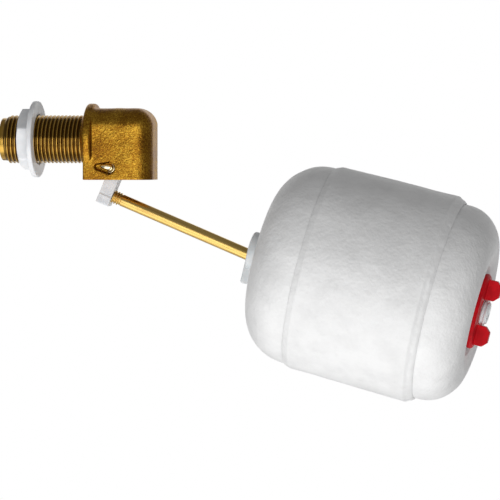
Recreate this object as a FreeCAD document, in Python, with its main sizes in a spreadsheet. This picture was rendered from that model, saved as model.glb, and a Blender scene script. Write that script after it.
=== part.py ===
"""Float valve: a brass angle valve on a threaded shank, worked by a lever, a rod and a hollow float.

The origin is on the shank's axis, in the plane of the collar's sealing face. +X runs from the inlet
towards the float, +Z is up, and the whole object mirrors across the XZ plane. It is drawn with the
float hanging at the bottom of its travel, so the valve is fully open.
"""
import FreeCAD, Part
import math
import os

import Sketcher

PARTS_FOLDER = "parts"
FULL_TURN = 360

# Every driving size, in millimetres or degrees.
SIZES = {
    # threaded shank and collar
    "shank_radius": 11.1125,
    "shank_length": 38.2,
    "shank_chamfer": 0.9,
    "spigot_step": 1.2125,
    "spigot_length": 2.3,
    "spigot_chamfer": 0.5,
    "root_flare": 1.6875,
    "root_length": 1.9,
    "collar_overhang": 5.4875,
    "collar_thickness": 3.95,
    "collar_rounding": 1.2,
    # cast block
    "casting_length": 31.5,
    "casting_depth": 26.0,
    "collar_above_top": 2.3,
    "bottom_below_collar": 2.1,
    "casting_rounding": 8.6,
    # waterway
    "inlet_relief": 0.3,
    "nozzle_shoulder": 0.42,
    "nozzle_step": 1.5,
    "nozzle_flange_length": 7.5,
    "guide_radius": 6.58,
    "end_wall": 2.2,
    "chamber_half_width": 5.5,
    "guide_start": 19.5,
    "guide_floor": 2.0,
    "outlet_end_wall": 5.0,
    "stop_gap": 0.3,
    # clearances
    "running_gap": 0.08,
    "shaft_gap": 0.05,
    "fit_gap": 0.05,
    "side_gap": 0.3,
    # nozzle
    "orifice_radius": 2.4,
    "lip_radius": 3.3,
    "lip_height": 0.9,
    "nose_radius": 4.9,
    "nozzle_throat": 4.6,
    "o_ring_section": 0.68,
    "o_ring_groove_width": 1.9,
    "o_ring_inset": 3.2,
    "shut_gap": 0.05,
    # plunger
    "head_radius": 5.2,
    "head_length": 2.9,
    "head_taper": 1.4,
    "seal_radius": 4.1,
    "seal_thickness": 2.2,
    "seal_stand": 0.3,
    "slot_wall": 1.3,
    "slot_flare": 3.4,
    "slot_top": 3.0,
    "flare_top": 2.6,
    "tail_gap": 0.3,
    "screw_head_radius": 1.7,
    "screw_head_length": 0.9,
    "screw_radius": 0.85,
    "screw_grip": 1.7,
    # lever and its split pin
    "swing": 22.0,
    "pin_x": 12.05,
    "pin_drop": 13.2,
    "pin_radius": 1.5,
    "droop": 22.8,
    "hub_radius": 3.4,
    "arm_left": 1.3,
    "arm_right": 4.8,
    "arm_width": 8.0,
    "arm_length": 17.3,
    "boss_height": 4.3,
    "boss_proud": 0.35,
    "finger_width": 5.0,
    "finger_thickness": 3.0,
    "finger_tip_radius": 2.35,
    "rod_drop": 12.35,
    "recess_radius": 2.95,
    "recess_depth": 3.4,
    "recess_reach": 5.3,
    "recess_end_radius": 1.5,
    "recess_tilt": 6.0,
    "eye_radius": 1.75,
    "eye_wire": 0.62,
    "leg_length": 4.5,
    "leg_radius": 0.7,
    # mounting nut
    "nut_place": 31.5,
    "nut_hex_length": 5.7,
    "nut_corner_wall": 3.3375,
    "nut_turn": 20.2,
    "nut_corner_chamfer": 1.3,
    "nut_flange_overhang": 6.5375,
    "nut_flange_thickness": 2.3,
    "nut_cone": 0.9,
    # rod
    "rod_radius": 2.75,
    "rod_start": 0.2,
    "rod_reach": 74.015,
    "rod_grip": 12.0,
    "end_chamfer": 0.5,
    # float
    "float_tilt": 14.48,
    "rod_entry_drop": 2.3,
    "stem_head_overhang": 1.0,
    "stem_head_thickness": 4.9,
    "stem_lug_width": 7.0,
    "stem_lug_reach": 15.6,
    "stem_lug_forward": 0.9,
    "stem_hub_gap": 0.1,
    "stem_hub_length": 18.0,
    "stem_shaft_radius": 5.5,
    "stem_stand": 3.2,
    "stem_ring_section": 0.7,
    "stem_ring_place": 19.0,
    "stem_ring_groove_width": 2.0,
    "core_bore_radius": 7.9,
    "core_wall": 1.2,
    "shell_wall": 1.8,
    "near_dome_radius": 46.3,
    "near_dome_length": 24.7,
    "near_crown": 1.3,
    "near_rounding": 22.0,
    "far_dome_relief": 0.5,
    "far_dome_length": 19.2,
    "far_hollow": 1.6,
    "far_rounding": 17.5,
    "band_length": 61.4,
    "band_near_step": 1.6,
    "band_near_ramp": 2.7,
    "band_far_step": 3.1,
    "band_far_ramp": 3.9,
    "band_lip": 0.3,
    "spigot_overlap": 4.0,
    "dish_margin": 2.0,
    "dish_depth": 3.2,
    "dish_slope": 1.5,
    # wing nut
    "far_washer_thickness": 0.9,
    "far_washer_inset": 2.5,
    "wing_disc_radius": 17.5,
    "wing_disc_thickness": 2.75,
    "wing_disc_rounding": 0.9,
    "wing_bore_gap": 0.5,
    "wing_reach": 9.3,
    "wing_height": 6.0,
    "wing_thickness": 4.4,
    "wing_corner": 2.2,
}

document = FreeCAD.newDocument("FloatValve")
sheet = document.addObject("Spreadsheet::Sheet", "Sizes")
for row, (alias, size) in enumerate(SIZES.items(), start=1):
    sheet.set(f"A{row}", alias)
    sheet.set(f"B{row}", str(size))
    sheet.setAlias(f"B{row}", alias)
document.recompute()


class Term:
    """A size, or sizes joined by arithmetic: the text that ties a property to them, and the value."""

    def __init__(self, text, value):
        self.text = text
        self.value = value

    def __add__(self, other):
        return Term(f"({self.text} + {term(other).text})", self.value + term(other).value)

    def __sub__(self, other):
        return Term(f"({self.text} - {term(other).text})", self.value - term(other).value)

    def __mul__(self, other):
        return Term(f"{self.text} * {term(other).text}", self.value * term(other).value)

    def __truediv__(self, other):
        return Term(f"{self.text} / {term(other).text}", self.value / term(other).value)

    def __neg__(self):
        return Term(f"(0 - {self.text})", -self.value)

    def __radd__(self, other):
        return term(other) + self

    def __rsub__(self, other):
        return term(other) - self

    def __rmul__(self, other):
        return term(other) * self


def term(size):
    """A plain number as a Term, and a Term as itself."""
    return size if isinstance(size, Term) else Term(repr(float(size)), float(size))


def sine(angle):
    return Term(f"sin({angle.text})", math.sin(math.radians(angle.value)))


def cosine(angle):
    return Term(f"cos({angle.text})", math.cos(math.radians(angle.value)))


def least(one, other):
    """The smaller of two sizes, where either may be the limit."""
    return Term(f"min({one.text}; {other.text})", min(one.value, other.value))


class Sheet:
    """Gives each driving size as a Term bound to its cell."""

    def __getattr__(self, alias):
        return Term(f"Sizes.{alias}", SIZES[alias])


S = Sheet()
ZERO = term(0)


# --- helpers for sketches and features -----------------------------------------------------------

def bind(thing, name, size):
    """Sets a property to a Term's value and binds it to the sheet."""
    thing.setExpression(name, term(size).text)


def place(thing, x=ZERO, y=ZERO, z=ZERO, axis=(0, 1, 0), angle=None):
    """Puts a sub-part at a point, turned about one axis, both bound to the sheet."""
    turn = 0.0 if angle is None else angle.value
    thing.Placement = FreeCAD.Placement(
        FreeCAD.Vector(term(x).value, term(y).value, term(z).value),
        FreeCAD.Rotation(FreeCAD.Vector(*axis), turn),
    )
    for name, size in (("x", x), ("y", y), ("z", z)):
        bind(thing, f"Placement.Base.{name}", size)
    if angle is not None:
        bind(thing, "Placement.Rotation.Angle", angle)


def new_body(name):
    """An empty body that carries the sub-part's name."""
    body = document.addObject("PartDesign::Body", name)
    body.Label = name
    return body


def plane(body, role):
    """One of the body's own origin planes."""
    return next(p for p in body.Origin.OriginFeatures if p.Role == role)


def new_sketch(body, name, role="XZ_Plane", offset=ZERO):
    """A sketch on an origin plane of the body, moved along the plane's normal by offset."""
    sketch = body.newObject("Sketcher::SketchObject", name)
    sketch.AttachmentSupport = [(plane(body, role), "")]
    sketch.MapMode = "FlatFace"
    bind(sketch, "AttachmentOffset.Base.z", offset)
    return sketch


def fix_point(sketch, geometry, point, x, y):
    """Fixes one point of a sketch element at (x, y) from the sketch's origin."""
    for kind, size in (("DistanceX", term(x)), ("DistanceY", term(y))):
        number = sketch.addConstraint(
            Sketcher.Constraint(kind, -1, 1, geometry, point, size.value)
        )
        sketch.setExpression(f"Constraints[{number}]", size.text)


def outline(sketch, corners):
    """A closed outline. Each corner is (x, y), or (x, y, centre_x, centre_y, way) where an arc about
    that centre ends, with way 1 for anticlockwise and -1 for clockwise.
    """
    points = [FreeCAD.Vector(term(c[0]).value, term(c[1]).value, 0) for c in corners]
    starts = []
    for number, corner in enumerate(corners):
        before, here = points[number - 1], points[number]
        if len(corner) == 2:
            geometry = sketch.addGeometry(Part.LineSegment(before, here), False)
            starts.append((geometry, 1, 2))
            continue
        centre = FreeCAD.Vector(term(corner[2]).value, term(corner[3]).value, 0)
        way = corner[4]
        first, last = (before, here) if way > 0 else (here, before)
        angles = [math.atan2(p.y - centre.y, p.x - centre.x) for p in (first, last)]
        circle = Part.Circle(centre, FreeCAD.Vector(0, 0, 1), (first - centre).Length)
        geometry = sketch.addGeometry(Part.ArcOfCircle(circle, *angles), False)
        starts.append((geometry, 1, 2) if way > 0 else (geometry, 2, 1))
    for number, corner in enumerate(corners):
        geometry, _, end = starts[number]
        after, start, _ = starts[(number + 1) % len(corners)]
        sketch.addConstraint(Sketcher.Constraint("Coincident", geometry, end, after, start))
        fix_point(sketch, geometry, end, corner[0], corner[1])
        if len(corner) > 2:
            centre_x = term(corner[2])
            place_of_centre = sketch.addConstraint(
                Sketcher.Constraint("DistanceX", -1, 1, geometry, 3, centre_x.value)
            )
            sketch.setExpression(f"Constraints[{place_of_centre}]", centre_x.text)


def circle(sketch, radius, x=ZERO, y=ZERO):
    centre = FreeCAD.Vector(term(x).value, term(y).value, 0)
    ring = Part.Circle(centre, FreeCAD.Vector(0, 0, 1), term(radius).value)
    geometry = sketch.addGeometry(ring, False)
    number = sketch.addConstraint(Sketcher.Constraint("Radius", geometry, term(radius).value))
    sketch.setExpression(f"Constraints[{number}]", term(radius).text)
    fix_point(sketch, geometry, 3, x, y)


def feature(body, kind, name, profile, **settings):
    """Adds one feature made from a sketch. A setting given as a Term is bound to its size."""
    made = body.newObject(f"PartDesign::{kind}", name)
    made.Profile = profile
    for key, value in settings.items():
        if isinstance(value, Term):
            bind(made, key, value)
        else:
            setattr(made, key, value)
    profile.Visibility = False
    return made


def pad(body, name, profile, length, **settings):
    return feature(body, "Pad", name, profile, Length=term(length), **settings)


def cut(body, name, kind, profile, **settings):
    """A pocket or groove, checked to have taken material away."""
    document.recompute()
    before = body.Shape.Volume
    made = feature(body, kind, name, profile, **settings)
    document.recompute()
    if not body.Shape.Volume < before - 1e-6:
        raise RuntimeError(f"{name} removed nothing from {body.Label}")
    return made


def pocket(body, name, profile, **settings):
    return cut(body, name, "Pocket", profile, **settings)


def turned(body, name, corners, kind="Revolution"):
    """A solid, or with kind Groove a cut, turned about the body's X axis from (x, radius) corners."""
    profile = new_sketch(body, f"{name}_profile")
    outline(profile, corners)
    axis = (profile, ["H_Axis"])
    if kind == "Groove":
        return cut(body, name, "Groove", profile, ReferenceAxis=axis, Angle=FULL_TURN)
    return feature(body, kind, name, profile, ReferenceAxis=axis, Angle=FULL_TURN)


def tube(start, end, inner, outer):
    """The corners of a plain tube's profile."""
    return [(start, inner), (end, inner), (end, outer), (start, outer)]


def edges_where(made, wanted):
    """The names of a feature's edges that a test of their middle point and length picks."""
    document.recompute()
    names = []
    for number, edge in enumerate(made.Shape.Edges, start=1):
        if wanted(edge):
            names.append(f"Edge{number}")
    if not names:
        raise RuntimeError(f"no edge of {made.Name} was picked")
    return names


def rounded(body, name, made, radius, wanted):
    """Fillets the picked edges."""
    fillet = body.newObject("PartDesign::Fillet", name)
    fillet.Base = (made, edges_where(made, wanted))
    bind(fillet, "Radius", radius)
    return fillet


def near(value, size, allowance=1e-4):
    return abs(value - term(size).value) < allowance


# --- places worked out from the driving sizes ----------------------------------------------------

spigot_radius = S.shank_radius - S.spigot_step
root_radius = S.shank_radius + S.root_flare
collar_radius = S.shank_radius + S.collar_overhang
casting_top = collar_radius - S.collar_above_top
casting_bottom = collar_radius + S.bottom_below_collar
nut_corner_radius = S.shank_radius + S.nut_corner_wall
nut_flange_radius = S.shank_radius + S.nut_flange_overhang
nozzle_pocket_radius = S.guide_radius + S.nozzle_shoulder
inlet_radius = nozzle_pocket_radius + S.inlet_relief
half_swing = S.swing / 2
finger_x = S.pin_x + S.pin_drop * sine(half_swing)
travel = 2 * S.pin_drop * sine(half_swing)
seal_face_x = finger_x - S.slot_flare - S.slot_wall - S.seal_thickness
head_face_x = seal_face_x + S.seal_stand
lip_x = seal_face_x - travel - S.shut_gap
guide_end_x = S.casting_length - S.end_wall
plunger_end_x = guide_end_x - S.tail_gap
plunger_radius = S.guide_radius - S.running_gap
nozzle_tail_x = -S.nozzle_step - S.nozzle_flange_length
pin_hole_radius = S.pin_radius + S.shaft_gap
half_depth = S.casting_depth / 2
recess_floor = half_depth - S.recess_depth
arm_back_x = (
    S.pin_x
    - (S.arm_left + S.stop_gap) / cosine(S.droop)
    - (casting_bottom - S.pin_drop) * sine(S.droop) / cosine(S.droop)
)
outlet_left_x = least(arm_back_x, S.pin_x - S.hub_radius - S.stop_gap)
tail_x = -S.shank_length - S.spigot_length
rod_x = S.pin_x - S.rod_drop * sine(S.droop)
rod_z = -S.pin_drop - S.rod_drop * cosine(S.droop)
float_x = rod_x + S.rod_reach * cosine(S.droop) + S.rod_entry_drop * sine(S.float_tilt)
float_z = rod_z - S.rod_reach * sine(S.droop) + S.rod_entry_drop * cosine(S.float_tilt)
core_outer_radius = S.core_bore_radius + S.core_wall
stem_hub_radius = S.core_bore_radius - S.stem_hub_gap
stem_head_radius = S.core_bore_radius + S.stem_head_overhang
far_dome_radius = S.near_dome_radius - S.far_dome_relief
band_near_radius = S.near_dome_radius + S.band_near_step
band_far_radius = far_dome_radius + S.band_far_step
dish_radius = S.wing_disc_radius + S.dish_margin
far_washer_radius = S.wing_disc_radius - S.far_washer_inset
wing_inner = S.stem_shaft_radius + S.wing_bore_gap
wing_outer = wing_inner + S.wing_reach
near_face = S.stem_head_thickness
band_start = near_face + S.near_dome_length
band_end = band_start + S.band_length
far_face = band_end + S.far_dome_length
dish_floor = far_face - S.dish_depth
wing_back = dish_floor + S.far_washer_thickness
wing_front = wing_back + S.wing_disc_thickness


# --- valve ---------------------------------------------------------------------------------------

def valve_body():
    """The casting: threaded shank, round collar and rounded block, bored through to the outlet."""
    body = new_body("valve_body")
    side = new_sketch(body, "block_side")
    outline(side, [
        (ZERO, -casting_bottom),
        (S.casting_length, -casting_bottom),
        (S.casting_length, casting_top),
        (ZERO, casting_top),
    ])
    block = pad(body, "block", side, S.casting_depth, Midplane=True)

    def is_cast_edge(edge):
        middle = edge.CenterOfMass
        on_top = near(middle.z, casting_top) and not near(middle.x, ZERO)
        upright = near(middle.x, S.casting_length) and not near(middle.z, -casting_bottom)
        return on_top or upright

    rounded(body, "block_rounding", block, S.casting_rounding, is_cast_edge)

    shank = turned(body, "shank", [
        (tail_x, ZERO),
        (S.collar_thickness, ZERO),
        (S.collar_thickness, collar_radius),
        (ZERO, collar_radius),
        (ZERO, root_radius),
        (-S.root_length, S.shank_radius),
        (-S.shank_length + S.shank_chamfer, S.shank_radius),
        (-S.shank_length, S.shank_radius - S.shank_chamfer),
        (-S.shank_length, spigot_radius),
        (tail_x + S.spigot_chamfer, spigot_radius),
        (tail_x, spigot_radius - S.spigot_chamfer),
    ])

    def is_collar_rim(edge):
        middle = edge.valueAt((edge.FirstParameter + edge.LastParameter) / 2)
        flat = edge.BoundBox.XLength < 1e-3
        return flat and near(math.hypot(middle.y, middle.z), collar_radius)

    rounded(body, "collar_rounding", shank, S.collar_rounding, is_collar_rim)

    turned(body, "waterway", [
        (tail_x - 1, ZERO),
        (guide_end_x, ZERO),
        (guide_end_x, S.guide_radius),
        (-S.nozzle_step, S.guide_radius),
        (-S.nozzle_step, nozzle_pocket_radius),
        (nozzle_tail_x, nozzle_pocket_radius),
        (nozzle_tail_x, inlet_radius),
        (tail_x - 1, inlet_radius),
    ], "Groove")

    for name, end_x, depth in (
        ("outlet", S.casting_length - S.outlet_end_wall, casting_bottom - S.guide_radius - S.guide_floor),
        ("chamber", S.guide_start, casting_bottom),
    ):
        mouth = new_sketch(body, f"{name}_mouth", "XY_Plane", -casting_bottom)
        outline(mouth, [
            (outlet_left_x, -S.chamber_half_width),
            (end_x, -S.chamber_half_width),
            (end_x, S.chamber_half_width),
            (outlet_left_x, S.chamber_half_width),
        ])
        pocket(body, name, mouth, Length=depth, Reversed=True)

    hole = new_sketch(body, "pin_hole_circle")
    circle(hole, pin_hole_radius, S.pin_x, -S.pin_drop)
    pocket(body, "pin_hole", hole, Length=S.casting_depth + 1, Midplane=True)

    back_x = S.pin_x - S.recess_reach * cosine(S.recess_tilt)
    back_z = S.recess_reach * sine(S.recess_tilt) - S.pin_drop
    up_x, up_z = sine(S.recess_tilt), cosine(S.recess_tilt)
    wide, narrow = S.recess_radius, S.recess_end_radius
    top = (S.pin_x + wide * up_x, wide * up_z - S.pin_drop)
    foot = (S.pin_x - wide * up_x, -S.pin_drop - wide * up_z)
    keyhole = new_sketch(body, "keyhole", "XZ_Plane", half_depth)
    outline(keyhole, [
        (*top, S.pin_x, -S.pin_drop, 1),
        (back_x + narrow * up_x, back_z + narrow * up_z),
        (back_x - narrow * up_x, back_z - narrow * up_z, back_x, back_z, 1),
        foot,
    ])
    pocket(body, "pin_recess", keyhole, Length=S.recess_depth)
    return body


def seat_nozzle():
    """The insert that carries the sealing lip, pushed up the inlet against the bore's step."""
    body = new_body("seat_nozzle")
    flange_radius = nozzle_pocket_radius - S.fit_gap
    lip_foot_x = lip_x - S.lip_height
    turned(body, "nozzle", [
        (nozzle_tail_x, S.nozzle_throat),
        (-S.nozzle_step, S.orifice_radius),
        (lip_x, S.orifice_radius),
        (lip_x, S.lip_radius),
        (lip_foot_x, S.nose_radius),
        (-S.nozzle_step, S.nose_radius),
        (-S.nozzle_step, flange_radius),
        (nozzle_tail_x, flange_radius),
    ])
    ring_x = nozzle_tail_x + S.o_ring_inset
    half_width = S.o_ring_groove_width / 2
    groove_floor = nozzle_pocket_radius - 2 * S.o_ring_section - S.fit_gap
    turned(body, "ring_groove", tube(
        ring_x - half_width, ring_x + half_width, groove_floor, flange_radius + 1
    ), "Groove")
    return body


def ring(name, section, outer_radius):
    """An O-ring with its outside just inside outer_radius."""
    made = document.addObject("Part::Torus", name)
    made.Label = name
    bind(made, "Radius1", outer_radius - section - S.fit_gap / 2)
    bind(made, "Radius2", section)
    return made


def nozzle_o_ring():
    made = ring("nozzle_o_ring", S.o_ring_section, nozzle_pocket_radius)
    place(made, x=nozzle_tail_x + S.o_ring_inset, angle=term(90))
    return made


def plunger():
    """The sliding piece: a slim head for the seal, a guide barrel and a slot for the lever's finger."""
    body = new_body("plunger")
    head_end = head_face_x + S.head_length
    turned(body, "barrel", [
        (head_face_x, ZERO),
        (plunger_end_x, ZERO),
        (plunger_end_x, plunger_radius - S.end_chamfer),
        (plunger_end_x - S.end_chamfer, plunger_radius),
        (head_end + S.head_taper, plunger_radius),
        (head_end, S.head_radius),
        (head_face_x, S.head_radius),
    ])
    seal_back = seal_face_x + S.seal_thickness
    turned(body, "seal_seat", [
        (head_face_x - 1, ZERO),
        (seal_back, ZERO),
        (seal_back, S.seal_radius + S.fit_gap),
        (head_face_x - 1, S.seal_radius + S.fit_gap),
    ], "Groove")
    screw_end = seal_back + S.screw_grip + S.fit_gap
    turned(body, "screw_hole", [
        (seal_back - S.fit_gap, ZERO),
        (screw_end, ZERO),
        (screw_end, S.screw_radius + S.fit_gap),
        (seal_back - S.fit_gap, S.screw_radius + S.fit_gap),
    ], "Groove")
    slot_half = S.finger_tip_radius + S.shaft_gap
    for name, half, top in (
        ("slot", slot_half, S.slot_top),
        ("slot_flare", S.slot_flare, -S.flare_top),
    ):
        profile = new_sketch(body, f"{name}_side")
        outline(profile, [
            (finger_x - half, -plunger_radius - 1),
            (finger_x + half, -plunger_radius - 1),
            (finger_x + half, top),
            (finger_x - half, top),
        ])
        pocket(body, name, profile, Length=S.finger_width + 2 * S.side_gap, Midplane=True)
    return body


def plunger_seal():
    """The rubber disc that closes on the nozzle's lip, held by a screw through its middle."""
    body = new_body("plunger_seal")
    head_hole = S.screw_head_radius + S.fit_gap
    shaft_hole = S.screw_radius + S.fit_gap
    head_floor = seal_face_x + S.screw_head_length
    seal_back = seal_face_x + S.seal_thickness
    turned(body, "disc", [
        (seal_face_x, head_hole),
        (head_floor, head_hole),
        (head_floor, shaft_hole),
        (seal_back, shaft_hole),
        (seal_back, S.seal_radius),
        (seal_face_x, S.seal_radius),
    ])
    return body


def seal_screw():
    """The slotted screw that holds the seal to the plunger."""
    body = new_body("seal_screw")
    head_floor = seal_face_x + S.screw_head_length
    screw_end = seal_face_x + S.seal_thickness + S.screw_grip
    turned(body, "screw", [
        (seal_face_x, ZERO),
        (screw_end, ZERO),
        (screw_end, S.screw_radius),
        (head_floor, S.screw_radius),
        (head_floor, S.screw_head_radius),
        (seal_face_x, S.screw_head_radius),
    ])
    slot_half = S.screw_radius / 3
    profile = new_sketch(body, "driver_slot_side")
    outline(profile, [
        (seal_face_x - 1, -slot_half),
        (seal_face_x + S.screw_head_length / 2, -slot_half),
        (seal_face_x + S.screw_head_length / 2, slot_half),
        (seal_face_x - 1, slot_half),
    ])
    pocket(body, "driver_slot", profile, Length=3 * S.screw_head_radius, Midplane=True)
    return body


def lever():
    """The bell crank, drawn about its pivot with the arm along -Z, then turned to the arm's droop."""
    body = new_body("lever")
    arm = new_sketch(body, "arm_side")
    outline(arm, [
        (-S.arm_left, ZERO),
        (-S.arm_left, -S.arm_length),
        (S.arm_right, -S.arm_length),
        (S.arm_right, -S.hub_radius),
        (S.hub_radius, ZERO),
    ])
    pad(body, "arm", arm, S.arm_width, Midplane=True)

    boss = new_sketch(body, "boss_side")
    outline(boss, [
        (-S.arm_left, -S.arm_length),
        (S.arm_right, -S.arm_length),
        (S.arm_right, S.boss_height - S.arm_length),
        (-S.arm_left, S.boss_height - S.arm_length),
    ])
    pad(body, "boss", boss, S.arm_width + 2 * S.boss_proud, Midplane=True)

    hub = new_sketch(body, "hub_circle")
    circle(hub, S.hub_radius)
    pad(body, "hub", hub, 2 * (S.chamber_half_width - S.side_gap), Midplane=True)

    lean = S.droop - half_swing
    tip_x, tip_z = -S.pin_drop * sine(lean), S.pin_drop * cosine(lean)
    half_x = S.finger_thickness / 2 * cosine(lean)
    half_z = S.finger_thickness / 2 * sine(lean)
    finger = new_sketch(body, "finger_side")
    outline(finger, [
        (-half_x, -half_z),
        (half_x, half_z),
        (tip_x + half_x, tip_z + half_z),
        (tip_x - half_x, tip_z - half_z),
    ])
    pad(body, "finger", finger, S.finger_width, Midplane=True)
    tip = new_sketch(body, "tip_circle")
    circle(tip, S.finger_tip_radius, tip_x, tip_z)
    pad(body, "tip", tip, S.finger_width, Midplane=True)

    pin_hole = new_sketch(body, "pin_hole_circle")
    circle(pin_hole, pin_hole_radius)
    pocket(body, "pin_hole", pin_hole, Length=S.casting_depth, Midplane=True)

    rod_hole = new_sketch(body, "rod_hole_circle", "YZ_Plane", S.rod_start - S.fit_gap)
    circle(rod_hole, S.rod_radius + S.fit_gap, ZERO, -S.rod_drop)
    pocket(body, "rod_hole", rod_hole, Length=S.casting_depth, Reversed=True)
    place(body, x=S.pin_x, z=-S.pin_drop, angle=S.droop)
    return body


def cylinder(name, radius, length, x, y, z, axis, angle):
    made = document.addObject("Part::Cylinder", name)
    bind(made, "Radius", radius)
    bind(made, "Height", length)
    place(made, x, y, z, axis, angle)
    return made


def pivot_pin():
    """The split pin that the lever turns on: eye folded flat in the recess, legs spread at the back."""
    eye_y = -recess_floor - S.eye_wire - S.fit_gap
    legs_y = half_depth + S.leg_radius + S.fit_gap
    shaft = cylinder(
        "pin_shaft", S.pin_radius, legs_y - eye_y, S.pin_x, eye_y, -S.pin_drop, (1, 0, 0), term(-90)
    )
    eye = document.addObject("Part::Torus", "pin_eye")
    bind(eye, "Radius1", S.eye_radius)
    bind(eye, "Radius2", S.eye_wire)
    place(eye, S.pin_x - S.eye_radius, eye_y, S.eye_wire / 2 - S.pin_drop, (1, 0, 0), term(90))
    legs = cylinder(
        "pin_legs", S.leg_radius, 2 * S.leg_length,
        S.pin_x - S.leg_length, legs_y, -S.pin_drop, (0, 1, 0), term(90),
    )
    made = document.addObject("Part::MultiFuse", "pivot_pin")
    made.Shapes = [shaft, eye, legs]
    made.Label = "pivot_pin"
    return made


def mounting_nut():
    """The flanged hexagon nut that clamps the valve to a tank's wall."""
    body = new_body("mounting_nut")
    start = -S.nut_place
    flange_x = start + S.nut_hex_length
    end = flange_x + S.nut_flange_thickness
    hexagon = new_sketch(body, "hexagon", "YZ_Plane", start)
    corners = []
    for corner in range(6):
        around = S.nut_turn + corner * FULL_TURN / 6
        corners.append((-nut_corner_radius * cosine(around), nut_corner_radius * sine(around)))
    outline(hexagon, corners)
    pad(body, "hex", hexagon, S.nut_hex_length + S.nut_flange_thickness / 2)
    turned(body, "flange", [
        (flange_x - S.nut_cone, S.shank_radius),
        (end, S.shank_radius),
        (end, nut_flange_radius),
        (flange_x, nut_flange_radius),
        (flange_x - S.nut_cone, nut_corner_radius - S.nut_cone),
    ])
    turned(body, "corner_chamfer", [
        (start - 1, nut_corner_radius - 2 * S.nut_corner_chamfer),
        (start, nut_corner_radius - 2 * S.nut_corner_chamfer + S.nut_cone),
        (start + S.nut_corner_chamfer, nut_corner_radius + 1),
        (start - 1, nut_corner_radius + 1),
    ], "Groove")
    bore_radius = S.shank_radius + S.running_gap
    turned(body, "bore", [
        (start - 1, ZERO),
        (end + 1, ZERO),
        (end + 1, bore_radius),
        (start - 1, bore_radius),
    ], "Groove")
    return body


# --- arm and float -------------------------------------------------------------------------------

def float_rod():
    """The straight rod, drawn along X from inside the lever's boss to inside the stem."""
    body = new_body("float_rod")
    end = S.rod_reach + S.rod_grip
    slim = S.rod_radius - S.end_chamfer
    turned(body, "rod", [
        (S.rod_start, ZERO),
        (end, ZERO),
        (end, slim),
        (end - S.end_chamfer, S.rod_radius),
        (S.rod_start + S.end_chamfer, S.rod_radius),
        (S.rod_start, slim),
    ])
    place(body, x=rod_x, z=rod_z, angle=S.droop)
    return body


def on_float_axis(thing):
    """Puts a piece drawn along X onto the float's axis, from the stem head's outer face."""
    place(thing, x=float_x, z=float_z, angle=S.float_tilt)


def float_near_dome():
    """The end that the rod meets: a slightly conical face, rounded into the side."""
    body = new_body("float_near_dome")
    radius, wall = S.near_dome_radius, S.shell_wall
    hole = core_outer_radius + S.fit_gap
    corner = least(S.near_rounding, radius - hole - wall)
    crown = near_face + S.near_crown
    end = band_start + S.spigot_overlap
    centre = (crown + corner, radius - corner)
    turned(body, "shell", [
        (near_face, hole),
        (near_face + wall, hole),
        (crown + wall, radius - corner),
        (crown + corner, radius - wall, *centre, -1),
        (end, radius - wall),
        (end, radius),
        (crown + corner, radius),
        (crown, radius - corner, *centre, 1),
    ])
    on_float_axis(body)
    return body


def float_far_dome():
    """The end with the dish for the wing nut: it dips from its rounding towards the dish."""
    body = new_body("float_far_dome")
    radius, wall = far_dome_radius, S.shell_wall
    hole = core_outer_radius + S.fit_gap
    start = band_end - S.spigot_overlap
    rim = dish_radius + S.dish_slope
    corner = least(S.far_rounding, radius - rim - 2 * wall)
    lip = far_face - S.far_hollow
    centre = (far_face - corner, radius - corner)
    turned(body, "shell", [
        (start, radius - wall),
        (far_face - corner, radius - wall),
        (far_face - wall, radius - corner, *centre, -1),
        (lip - wall, rim + wall),
        (dish_floor - wall, dish_radius + wall),
        (dish_floor - wall, hole),
        (dish_floor, hole),
        (dish_floor, dish_radius),
        (lip, rim),
        (far_face, radius - corner),
        (far_face - corner, radius, *centre, 1),
        (start, radius),
    ])
    on_float_axis(body)
    return body


def float_band():
    """The sleeve between the domes. It widens towards the far end and slopes down at both."""
    body = new_body("float_band")
    near_bore = S.near_dome_radius + S.fit_gap
    far_bore = far_dome_radius + S.fit_gap
    turned(body, "sleeve", [
        (band_start, near_bore),
        (band_start + S.spigot_overlap, near_bore),
        (band_end - S.spigot_overlap, far_bore),
        (band_end, far_bore),
        (band_end, far_bore + S.band_lip),
        (band_end - S.band_far_ramp, band_far_radius),
        (band_start + S.band_near_ramp, band_near_radius),
        (band_start, near_bore + S.band_lip),
    ])
    on_float_axis(body)
    return body


def float_core_tube():
    """The tube through the float that keeps its inside sealed off from the stem."""
    body = new_body("float_core_tube")
    turned(body, "core", tube(near_face, dish_floor, S.core_bore_radius, core_outer_radius))
    on_float_axis(body)
    return body


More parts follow.
